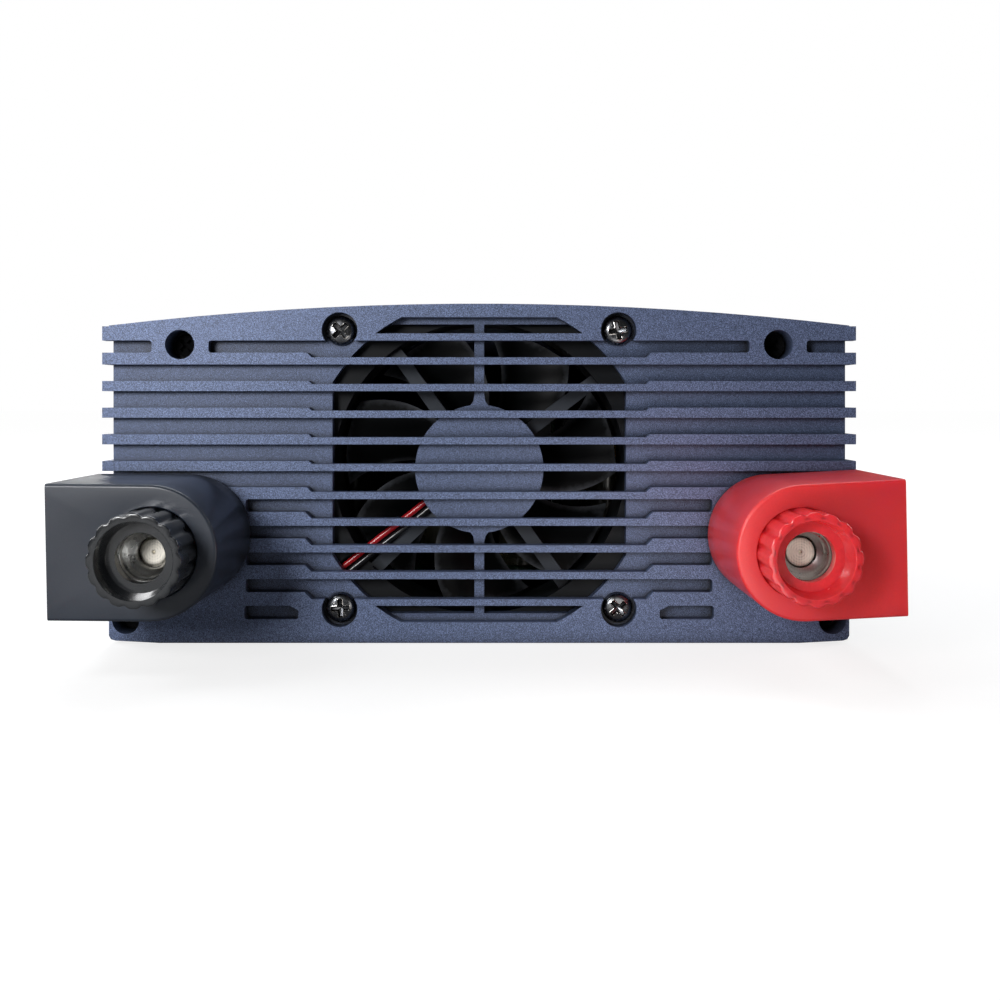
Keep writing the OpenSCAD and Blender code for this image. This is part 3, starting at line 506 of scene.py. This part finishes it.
SLATE = (0.1, 0.134, 0.236)
MATERIALS = {
    "panel_paint": powder_coat("panel_paint", SLATE),
    "case_paint": powder_coat("case_paint", shades(SLATE, 0.94)[0]),
    "base_paint": powder_coat("base_paint", (0.03, 0.031, 0.034), 0.1, 0.5),
    "black_screw": worn_black_with_painted_shade("black_screw", (0.14, 0.145, 0.155), (0.62, 0.6, 0.57)),
    # The screws deep in the access holes: a near-black copy of the screw black, painted shade.
    "dark_screw": painted_shadow_black("dark_screw", (0.006, 0.006, 0.0065)),
    "fan_plastic": fan_frame_plastic("fan_plastic", (0.036, 0.041, 0.049)),
    "rotor_plastic": edged_plastic("rotor_plastic", (0.004, 0.0045, 0.005), (0.07, 0.075, 0.085)),
    "steel": metal("steel", (0.5, 0.5, 0.52), 0.25, 0.42, (1, 1, 6)),
    "copper": metal("copper", (0.72, 0.34, 0.2), 0.28, 0.45, (1, 8, 1), 0.6),
    "winding": wound_wire("winding", (0.55, 0.24, 0.08), 0.9, "DIAGONAL"),
    "tape": wound_wire("tape", (0.62, 0.36, 0.07), 4.0, "Z"),
    "ferrite": moulded("ferrite", (0.05, 0.051, 0.055), 0.55, 0.7, 0.9, 0.05),
    "magnet": moulded("magnet", (0.05, 0.05, 0.055), 0.7, 0.85, 0.4, 0.03),
    "red_wire": moulded("red_wire", (0.5, 0.012, 0.018), 0.25, 0.4, 1.2, 0.02, Coat_Weight=0.3),
    "black_wire": moulded("black_wire", (0.011, 0.011, 0.012), 0.25, 0.4, 1.2, 0.02, Coat_Weight=0.3),
    "nylon": moulded("nylon", (0.78, 0.75, 0.66), 0.35, 0.5, 0.8, 0.02, Subsurface_Weight=0.2,
                     Subsurface_Scale=0.002),
    "insulator_plastic": moulded("insulator_plastic", (0.02, 0.02, 0.022), 0.5, 0.65, 0.35, 0.03),
    "fibre": moulded("fibre", (0.6, 0.52, 0.36), 0.65, 0.8, 0.5, 0.05),
    "stud_metal": turned_metal("stud_metal", (0.88, 0.84, 0.75), 0.5, 0.62, 0.3),
    "insert_metal": turned_metal("insert_metal", (0.46, 0.46, 0.45), 0.26, 0.34, 0.1, 0.08),
    # The seventh value of each boot is painted light, an emission in the vinyl's own colour.
    "black_boot": soft_vinyl("black_boot", (0.021, 0.028, 0.043), (0.018, 0.025, 0.039), 0.38, 0.48,
                             0.02, 0.002, 0.25, 0.15),
    "red_boot": soft_vinyl("red_boot", (0.62, 0.03, 0.036), (0.6, 0.026, 0.044), 0.38, 0.48, 0.8, 0.14, 0.2,
                           0.2),
    "black_knob": moulded("black_knob", (0.011, 0.013, 0.016), 0.2, 0.3, 1.2, 0.03, Coat_Weight=1.0,
                          Coat_Roughness=0.08),
    "red_knob": moulded("red_knob", (0.7, 0.03, 0.042), 0.18, 0.3, 1.2, 0.03, Coat_Weight=0.3,
                        Coat_Roughness=0.12, Subsurface_Weight=0.8, Subsurface_Scale=0.01),
    "board": circuit_board("board", (0.015, 0.11, 0.045)),
    "brass_part": metal("brass_part", (0.7, 0.5, 0.22), 0.25, 0.4, (1, 1, 4)),
    "cap_sleeve": moulded("cap_sleeve", (0.036, 0.034, 0.02), 0.2, 0.35, 2, 0.02, Coat_Weight=0.5),
    "dark_sleeve": moulded("dark_sleeve", (0.02, 0.021, 0.028), 0.2, 0.35, 2, 0.02, Coat_Weight=0.5),
    "fuse_body": moulded("fuse_body", (0.7, 0.42, 0.02), 0.2, 0.35, 1, 0.01, Transmission_Weight=0.2),
    "bare_aluminium": metal("bare_aluminium", (0.66, 0.67, 0.69), 0.3, 0.5, (1, 12, 1), 0.5, 0.02),
    "epoxy": moulded("epoxy", (0.018, 0.018, 0.02), 0.5, 0.65, 0.3, 0.02),
    "spring_steel": metal("spring_steel", (0.5, 0.5, 0.52), 0.22, 0.35, (1, 10, 1)),
    "green_core": moulded("green_core", (0.02, 0.16, 0.07), 0.25, 0.4, 1.5, 0.04, Coat_Weight=0.5),
    "outlet_plastic": moulded("outlet_plastic", (0.02, 0.02, 0.023), 0.35, 0.5, 0.5, 0.02),
    "switch_black": moulded("switch_black", (0.017, 0.017, 0.019), 0.35, 0.5, 0.4, 0.02),
    "rocker_red": moulded("rocker_red", (0.4, 0.012, 0.014), 0.2, 0.32, 0.8, 0.015, Coat_Weight=0.3),
    "button_white": moulded("button_white", (0.72, 0.7, 0.64), 0.3, 0.42, 0.8, 0.015),
    "led_green": moulded("led_green", (0.05, 0.42, 0.12), 0.1, 0.2, 1, 0.01, Coat_Weight=0.5),
}


def paint_cad_nodes():
    """Gives each CAD node the material of its slot in the record."""
    for subpart in frame["record"]["subparts"]:
        obj = NODES[subpart["node"]]
        for slot in obj.material_slots:
            slot.material = MATERIALS[subpart["material_slot"]]


# ---------- terminals ----------

def boot_outline(side, shrink, steps=40):
    """The open D of a boot: from its upper outer corner, round the stud, to its lower outer corner.
    Its end is cut a little slanted, so the upper edge is the longer one."""
    r = BOOT_R - shrink
    out = OUTWARD[side]
    upper, lower = BOOT_REACH[side] + BOOT_SLANT[side], BOOT_REACH[side] - BOOT_SLANT[side]
    run = [k / 12 for k in range(12)]
    points = [(upper * (1 - t), r) for t in run]
    points += arc_points((0, 0), r, 90, 270, steps)
    points += [(lower * (t + 1 / 12), -r) for t in run]
    return [(out * (x + BOOT_OFF), z) for x, z in points]


def on_face(side, point, depth):
    """A point of the terminal's face plane, turned as the boot sits on its stud."""
    turn = math.radians(BOOT_TURN[side])
    x, z = point
    return (STUD[side].x + x * math.cos(turn) - z * math.sin(turn), FRONT + depth,
            STUD[side].z + x * math.sin(turn) + z * math.cos(turn))


def close_outline(path):
    """The outline with points that close it across its flat end."""
    (x0, z0), (x1, z1) = path[-1], path[0]
    shares = (k / END_STEPS for k in range(1, END_STEPS))
    return path + [(x0 + (x1 - x0) * t, z0 + (z1 - z0) * t) for t in shares]


def towards_hole(loop, radius):
    """The point at a radius from the stud in the direction of each point of a loop."""
    return [(radius * x / math.hypot(x, z), radius * z / math.hypot(x, z)) for x, z in loop]


def make_boot(side):
    """A dip-moulded hood: a U-shaped wall with a rounded front edge, and a front with a hole for the knob."""
    edge = 0.85
    rear_edge = 0.3
    lip = 0.35
    hole = KNOB_R + 0.08
    quarter = [math.radians(90 * k / 8) for k in range(9)]
    outside = [(edge * (1 - math.sin(a)), BOOT_FRONT + edge * (1 - math.cos(a))) for a in quarter]
    depths = [BOOT_FRONT + (BOOT_BACK - BOOT_FRONT) * t for t in (0.25, 0.5, 0.75, 0.985)]
    outside += [(0, depth) for depth in depths]
    outside += [(rear_edge, BOOT_BACK)]
    inside = [(BOOT_WALL - rear_edge, BOOT_BACK)]
    inside += [(BOOT_WALL, depth) for depth in reversed(depths)]
    inside += [(BOOT_WALL, BOOT_FRONT + BOOT_WALL)]
    wall = [[on_face(side, point, depth) for point in boot_outline(side, shrink)]
            for shrink, depth in outside + inside]
    shape = Shape().loft(wall, closed=False)
    for end in (0, -1):
        outer_edge = [ring[end] for ring in wall[:len(outside)]]
        inner_edge = [ring[end] for ring in wall[len(outside):]][::-1]
        front_inner = [inner_edge[0]] * (len(outer_edge) - len(inner_edge)) + inner_edge
        shape.loft([outer_edge, front_inner], closed=False)
    front_loop = close_outline(boot_outline(side, edge))
    face = [[on_face(side, p, BOOT_FRONT) for p in front_loop]]
    for a in (math.radians(90 * k / 4) for k in range(5)):
        ring = towards_hole(front_loop, hole + lip * (1 - math.sin(a)))
        face.append([on_face(side, p, BOOT_FRONT + lip * (1 - math.cos(a))) for p in ring])
    back_loop = close_outline(boot_outline(side, BOOT_WALL))
    for ring in (towards_hole(back_loop, hole), back_loop):
        face.append([on_face(side, p, BOOT_FRONT + BOOT_WALL) for p in ring])
    shape.loft(face)
    end_front = [front_loop[-k] for k in range(END_STEPS + 1)]
    end_back = [back_loop[-k] for k in range(END_STEPS + 1)]
    shape.loft([[on_face(side, p, BOOT_FRONT) for p in end_front],
                [on_face(side, p, BOOT_FRONT + BOOT_WALL) for p in end_back]], closed=False)
    return shape.piece(f"{side}_boot_shell", f"{side}_boot", f"{COLOUR[side]}_boot", [f"boot_{side}"])


def make_knob(side, phase):
    """A knob with broad shallow lobes and a drafted recess, whose flat floor has a hole for the insert."""
    x, z = STUD[side].x, STUD[side].z
    front = KNOB_FRONT[side]
    steps_per_lobe = 18

    def lobed(angle, radius, _depth):
        if radius < LOBE_ROOT_R:
            return radius
        valley = (1 - math.cos(KNOB_LOBES * (angle - math.radians(phase)))) / 2
        return radius - LOBE_DEPTH * valley ** 2.4

    profile = [(INSERT_R + 0.05, KNOB_LENGTH), (INSERT_R + 0.05, 9.5), (6.4, 9.5), (6.4, 6.2), (6.41, 6.04)]
    profile += [(r, RECESS_DEPTH) for r in (6.45, 6.6, 8.7, 8.8)]
    profile += [(8.83, 5.97), (8.85, 5.85), (9.35, 2.4), (9.75, 0.35), (9.8, 0.12), (9.92, 0.02)]
    profile += [(10.69, 0.0), (10.9, 0.0), (11.5, 0.01), (11.68, 0.05), (11.82, 0.16), (11.88, 0.32)]
    profile += [(KNOB_R, d) for d in (0.6, 9, 16, 24.8)]
    profile += [(11.75, 25.6), (11.2, KNOB_LENGTH), (9.2, KNOB_LENGTH)]
    rings = turned_rings(x, z, [(r, front + d) for r, d in profile], steps_per_lobe * KNOB_LOBES, lobed)
    shape = Shape().loft(rings, "loop")
    return shape.piece(f"{side}_knob", f"{side}_knob", f"{COLOUR[side]}_knob", [f"knob_{side}"])


def thread(pitch, depth_of_cut):
    """How far a right-hand thread's surface lies below its crest, by angle and depth."""
    def below(angle, depth):
        phase = (depth / pitch + angle / (2 * math.pi)) % 1
        return depth_of_cut * min(1, max(0, 1.25 * abs(2 * phase - 1) - 0.12))
    return below


def thread_steps(start, end, per_turn=12):
    """Depths from start to end, close enough to show each turn of the thread."""
    count = max(2, int((end - start) / THREAD_PITCH * per_turn))
    return [start + (end - start) * k / count for k in range(count + 1)]


def make_stud(side):
    """An M8 stud with a centre-drilled end, a rolled thread and a round collar."""
    x, z = STUD[side].x, STUD[side].z
    cut = thread(THREAD_PITCH, 0.5)
    end = STUD_END

    def threaded(angle, radius, depth):
        return radius - cut(angle, depth) if radius == STUD_R else radius

    face_r = 3.35 if side == "negative" else 3.7
    profile = [(0.05, end + 0.75), (0.3, end + 0.55), (0.5, end + 0.1), (0.56, end), (1.6, end), (2.6, end),
               (face_r - 0.15, end), (face_r, end + 0.07), (face_r + 0.05, end + 0.3)]
    profile += [(STUD_R, d) for d in thread_steps(end + 0.75, -12.6)]
    profile += [(3.9, -12.2), (7.7, -12), (8, -11.7), (8, -9.3), (7.7, -9), (3.95, -9), (3.95, 13.8)]
    profile += [(STUD_R, d) for d in thread_steps(14, STUD_TAIL - 0.8)]
    profile += [(3.4, STUD_TAIL - 0.1), (3.2, STUD_TAIL)]
    rings = turned_rings(x, z, profile, 48, threaded)
    return Shape().loft(rings, "fan").piece(f"{side}_stud", "case", "stud_metal", [f"stud_{side}"])


def make_insert(side):
    """The knob's metal insert: a threaded mouth, a taper and the bore on the stud."""
    x, z = STUD[side].x, STUD[side].z
    front = KNOB_FRONT[side]
    cut = thread(THREAD_PITCH, 0.34)

    def threaded(angle, radius, depth):
        return radius + cut(angle, depth) if radius in (INSERT_MOUTH_R, INSERT_BORE_R) else radius

    profile = [(INSERT_R, KNOB_LENGTH), (INSERT_R, 9.6), (6.35, 9.55), (6.2, 9.8), (6.2, 11), (6.05, 11.2)]
    profile += [(INSERT_MOUTH_R, d) for d in thread_steps(11.4, 13.9)]
    profile += [(5.75, 14.2), (5.6, 14.4), (4.6, 15.3)]
    profile += [(INSERT_BORE_R, d) for d in thread_steps(15.6, 25.8)]
    rings = turned_rings(x, z, [(r, front + d) for r, d in profile], 96, threaded)
    return Shape().loft(rings, "loop").piece(f"{side}_knob_insert", f"{side}_knob", "insert_metal",
                                             [f"knob_insert_{side}"])


def make_terminals():
    """Both terminals, each with the angle of its knob's lobes in degrees."""
    for side, phase in (("negative", 0), ("positive", 2)):
        make_boot(side)
        make_knob(side, phase)
        make_stud(side)
        make_insert(side)


# ---------- fan ----------

BLADES = 7
HUB_R = 18.5
HUB_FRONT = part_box("fan_rotor")[0].y / MM - FRONT
HUB_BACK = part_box("fan_rotor")[1].y / MM - FRONT


def make_rotor():
    """The hub cup with its rounded front edge, and swept, twisted blades with a thin trailing edge."""
    shape = Shape()
    profile = [(0.05, HUB_FRONT), (12, HUB_FRONT), (17, HUB_FRONT)]
    profile += [(17 + 1.5 * math.sin(math.radians(a)), HUB_FRONT + 1.5 * (1 - math.cos(math.radians(a))))
                for a in (30, 60, 90)]
    profile += [(HUB_R, HUB_BACK - 0.6), (HUB_R - 0.4, HUB_BACK), (HUB_R - 1.6, HUB_BACK)]
    profile += [(HUB_R - 1.6, HUB_FRONT + 2.2)]
    profile += [(r, HUB_FRONT + 2.0) for r in (4.5, 2.6, 1.6, 0.05)]
    shape.loft(turned_rings(0, FAN_Z, profile, 84), "fan")
    span_steps = 12
    chord_steps = 12
    blade_reach = 24.2
    sweep = 16
    middle = (HUB_FRONT + HUB_BACK) / 2
    for blade in range(BLADES):
        rings = []
        for i in range(span_steps + 1):
            t = i / span_steps
            radius = HUB_R - 0.6 + t * blade_reach
            lead = 360 / BLADES * blade + sweep * t ** 1.6
            width = 44 - 7 * t
            height = 13.6 - 2.4 * t
            thick = 1.5 - 0.7 * t
            ring = []
            for k in range(2 * chord_steps):
                s = k / chord_steps if k <= chord_steps else 2 - k / chord_steps
                upper = 1 if k <= chord_steps else -1
                swell = math.sin(math.pi * min(1, 0.06 + 0.94 * s)) ** 0.5 if 0 < s < 1 else 0
                half = thick / 2 * upper * swell
                angle = math.radians(lead + width * (s - 0.5))
                depth = middle + height * (s - 0.5) - 2.2 * math.sin(math.pi * s) + half
                ring.append(round_axis(0, FAN_Z, depth, radius, angle))
            rings.append(ring)
        shape.loft(rings, "fan")
    return shape.piece("fan_impeller", "fan", "rotor_plastic", ["fan_rotor"], 50)


# The leads' route, as (x, depth, z): down the lower left strut, back past the frame and to the board.
LEAD_ROUTE = [(-13, 9.25, 42.4), (-20, 9.3, 36.6), (-30, 9.35, 28.9), (-40, 9.3, 20.9), (-46, 9.4, 16.6),
              (-49.6, 10.6, 14.6), (-51.4, 13.6, 13.6), (-52, 18, 13), (-52, 24, 13), (-52, 32, 13.4),
              (-53, 38, 15.4), (-55, 43, 18), (-58, 47, 19.4), (-60, 50.5, 19.6), (-60, 54, 19.6)]


def smooth_tube(name, points, radius, body, slot, replaces, steps=6, sides=14):
    """A round tube on a smooth curve through points given as (x, depth, z)."""
    path = []
    for i in range(len(points) - 1):
        p0, p1, p2, p3 = (Vector(points[max(0, min(len(points) - 1, i + k))]) for k in (-1, 0, 1, 2))
        for k in range(steps):
            t = k / steps
            path.append(0.5 * (2 * p1 + (p2 - p0) * t + (2 * p0 - 5 * p1 + 4 * p2 - p3) * t * t
                               + (3 * p1 - p0 - 3 * p2 + p3) * t ** 3))
    path.append(Vector(points[-1]))
    rings = []
    side = Vector((0, 0, 1))
    for i, centre in enumerate(path):
        along = (path[min(i + 1, len(path) - 1)] - path[max(i - 1, 0)]).normalized()
        side = (side - along * side.dot(along)).normalized()
        up = along.cross(side)
        rings.append([centre + Vector((0, FRONT, 0)) + radius * (side * math.cos(a) + up * math.sin(a))
                      for a in (2 * math.pi * k / sides for k in range(sides))])
    return Shape().loft(rings, "fan").piece(name, body, slot, replaces, 60)


def make_fan_leads():
    """The fan's two leads, side by side along one route."""
    lead_r = 0.95
    for colour, shift in (("red", 1), ("black", -1)):
        route = [(x - shift * 0.7, d, z + shift * 0.9) for x, d, z in LEAD_ROUTE]
        smooth_tube(f"{colour}_fan_lead", route, lead_r, "case", f"{colour}_wire", [f"fan_lead_{colour}"])


def cross_depth(across, up, arm, half):
    """How far inside a cross recess a point lies, from 0 outside it to 1. The four arms flare at the middle."""
    wall = 0.12

    def in_arm(along, beside):
        flare = half + 0.55 * max(0, 1 - abs(along) / 1.5) ** 2
        return min(1, max(0, (arm - abs(along)) / wall)) * min(1, max(0, (flare - abs(beside)) / wall))
    return max(in_arm(across, up), in_arm(up, across))


def make_pan_head(shape, x, z, front, radius, height, turn, arm=2.75, half=0.7):
    """A pan head with a cross recess whose rim is raised a little by the driver."""
    steps = 120
    rounds = 40
    rings = turned_rings(x, z, [(0.02, front + 2.3)], steps)
    for i in range(1, rounds + 1):
        share = i / rounds
        r = radius * share
        ring = []
        for k in range(steps):
            angle = 2 * math.pi * k / steps
            across, up = r * math.cos(angle - turn), r * math.sin(angle - turn)
            inside = cross_depth(across, up, arm, half)
            rim = cross_depth(across, up, arm + 0.22, half + 0.2) - inside
            depth = front + height * (1 - (1 - share ** 7) ** 0.5) + 0.45 * share ** 2
            depth += inside * (1.1 + 1.2 * max(0, 1 - r / arm)) - 0.06 * rim
            ring.append(round_axis(x, z, depth, r, angle))
        rings.append(ring)
    rings += turned_rings(x, z, [(radius, front + height + 0.4)], steps)
    shape.loft(rings, "fan")


def make_fan_screws():
    """Four pan-head screws at the corners of the fan, each turned by its own angle in degrees."""
    low, high = (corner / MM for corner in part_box("fan_screws"))
    head_r = 4.5
    head_height = 2.2
    shank_r = 1.8
    turns = {(-1, 1): 44, (1, 1): 10, (-1, -1): 4, (1, -1): 40}
    shape = Shape()
    for (sx, sz), turn in turns.items():
        x = (low.x + head_r) if sx < 0 else (high.x - head_r)
        z = (low.z + head_r) if sz < 0 else (high.z - head_r)
        make_pan_head(shape, x, z, low.y - FRONT, head_r, head_height, math.radians(turn))
        shape.loft(turned_rings(x, z, [(shank_r, 3.9), (shank_r, high.y - FRONT)], 24), "fan")
    return shape.piece("fan_screw_set", "case", "black_screw", ["fan_screws"], 32)


# ---------- AC end ----------

def make_rocker():
    """The rocker's curved paddle with its two raised ridges, drawn level and then tipped to its off side."""
    low, high = (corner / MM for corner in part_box("power_rocker"))
    x, z = (low.x + high.x) / 2, (low.z + high.z) / 2
    pivot = BACK - 5
    tilt = math.radians(10)
    half_w = 7.6
    pin_r = 1.5
    pin_reach = 8.9
    outline = [(-4, -6), (2, -10)]
    outline += arc_points((4.6, -9.9), 2.55, -150, -10, 6)
    outline += [(7.2 - 1.7 * math.sin(math.pi * k / 12) ** 0.8, -9 + 18 * k / 12) for k in range(1, 12)]
    outline += arc_points((4.6, 9.9), 2.55, 10, 150, 6)
    outline += [(2, 10), (-4, 6)]
    rings = []
    for across, shrink in ((-half_w, 0.5), (-half_w + 0.15, 0.15), (-half_w + 0.5, 0), (-3, 0), (3, 0),
                           (half_w - 0.5, 0), (half_w - 0.15, 0.15), (half_w, 0.5)):
        ring = []
        for out, up in outline:
            out, up = out * (1 - shrink / 9), up * (1 - shrink / 12)
            ring.append((x + across, pivot + out * math.cos(tilt) - up * math.sin(tilt),
                         z + out * math.sin(tilt) + up * math.cos(tilt)))
        rings.append(ring)
    shape = Shape().loft(rings, "fan")
    turn = [2 * math.pi * k / 24 for k in range(24)]
    pin = [[(x + end, pivot + pin_r * math.cos(t), z + pin_r * math.sin(t)) for t in turn]
           for end in (-pin_reach, pin_reach)]
    shape.loft(pin, "fan")
    return shape.piece("rocker_paddle", "rocker", "rocker_red", ["power_rocker"], 40)


# ---------- stage ----------

CAMERA_RIGHT = 4.7
CAMERA_AWAY = 350
CAMERA_UP = 72.4


def seen_by_camera(tree, low, high):
    """A value that is high for what the camera sees directly and low for all other light."""
    path = tree.nodes.new("ShaderNodeLightPath")
    reach = tree.nodes.new("ShaderNodeMapRange")
    reach.inputs["To Min"].default_value = low
    reach.inputs["To Max"].default_value = high
    tree.links.new(path.outputs["Is Camera Ray"], reach.inputs["Value"])
    return reach.outputs["Result"]


def make_stage():
    """A pale plain floor that fades into the white behind it."""
    half = 6.0
    floor_mesh = bpy.data.meshes.new("floor")
    corners = [(-half, -half, 0), (half, -half, 0), (half, half, 0), (-half, half, 0)]
    floor_mesh.from_pydata(corners, [], [(0, 1, 2, 3)])
    floor = bpy.data.objects.new("floor", floor_mesh)
    bpy.context.scene.collection.objects.link(floor)
    floor.location.z = CAD_BOUNDS[0][2] - 0.0002
    surface = Finish("floor_paper", roughness=0.85)
    surface.tones(surface.noise(3, 2), (0.3, (0.22, 0.22, 0.22)), (0.7, (0.24, 0.24, 0.24)))
    surface.shader.inputs["Emission Color"].default_value = (1, 1, 1, 1)
    away = surface.add("ShaderNodeVectorMath", operation="LENGTH")
    surface.link(surface.place, away.inputs[0])
    fade = surface.add("ShaderNodeMapRange")
    fade.inputs["From Min"].default_value = 0.35
    fade.inputs["From Max"].default_value = 1.3
    fade.inputs["To Min"].default_value = 0.78
    fade.inputs["To Max"].default_value = 0.97
    surface.link(away.outputs["Value"], fade.inputs["Value"])
    seen = surface.add("ShaderNodeMath", operation="MULTIPLY")
    surface.link(seen_by_camera(surface.tree, 0.0, 1.0), seen.inputs[0])
    surface.link(fade.outputs["Result"], seen.inputs[1])
    surface.link(seen.outputs["Value"], surface.shader.inputs["Emission Strength"])
    floor_mesh.materials.append(surface.material)


def make_world(ambient):
    """White behind the object, and a dimmer white for all other light."""
    world = bpy.data.worlds.new("studio")
    world.use_nodes = True
    bpy.context.scene.world = world
    background = world.node_tree.nodes["Background"]
    background.inputs["Color"].default_value = (1, 1, 1, 1)
    world.node_tree.links.new(seen_by_camera(world.node_tree, ambient, 1.0), background.inputs["Strength"])


def area_light(name, place, target, size, power, colour=(1, 1, 1)):
    """A round light at a place in metres that points at a target and that the camera doesn't see."""
    light = bpy.data.lights.new(name, "AREA")
    light.shape = "DISK"
    light.size = size
    light.energy = power
    light.color = colour
    obj = bpy.data.objects.new(name, light)
    obj.location = place
    obj.rotation_euler = (Vector(target) - Vector(place)).to_track_quat("-Z", "Y").to_euler()
    obj.visible_camera = False
    bpy.context.scene.collection.objects.link(obj)


def make_camera():
    """A camera square to the DC end, a little right of its middle and below the top of the case."""
    camera = bpy.data.cameras.new("camera")
    camera.lens = 42.64
    camera.sensor_width = 36
    camera.shift_x = 0.005
    camera.shift_y = -0.102
    camera.clip_start = 0.01
    obj = bpy.data.objects.new("camera", camera)
    obj.location = (CAMERA_RIGHT * MM, (FRONT - CAMERA_AWAY) * MM, CAMERA_UP * MM)
    obj.rotation_euler = (math.radians(90), 0, 0)
    bpy.context.scene.collection.objects.link(obj)
    bpy.context.scene.camera = obj


def make_lights():
    """Soft lights: two from the front left, two small glows at the front, and four round the rest."""
    make_world(0.07)
    area_light("key", (-0.24, -0.66, 0.18), (-0.01, -0.2, 0.05), 0.16, 1.62, (0.99, 0.99, 1))
    area_light("grazing", (-0.3, -0.3, 0.3), (0.0, -0.22, 0.05), 0.16, 0.42, (0.95, 0.98, 1))
    area_light("floor_glow", (0.045, -0.3, 0.012), (0.045, -0.2, 0.02), 0.08, 0.04, (1, 0.96, 0.92))
    area_light("red_glow", (0.06, -0.226, 0.05), (0.045, -0.2, 0.056), 0.03, 0.0007, (1, 0.06, 0.2))
    area_light("top", (0.0, 0.45, 1.0), (0, 0.1, 0), 0.8, 8, (0.93, 0.96, 1))
    area_light("left_side", (-1.0, 0.25, 0.5), (0, 0, 0.05), 0.5, 5)
    area_light("right_side", (1.0, 0.25, 0.5), (0, 0, 0.05), 0.5, 5)
    area_light("back", (-0.3, 0.95, 0.45), (0, 0.2, 0.05), 0.4, 4)
    bpy.context.scene.view_settings.view_transform = "Standard"


# ---------- build ----------

paint_cad_nodes()
soften_cad_nodes()
make_terminals()
make_rotor()
make_fan_leads()
make_fan_screws()
make_rocker()
make_stage()
make_camera()
make_lights()
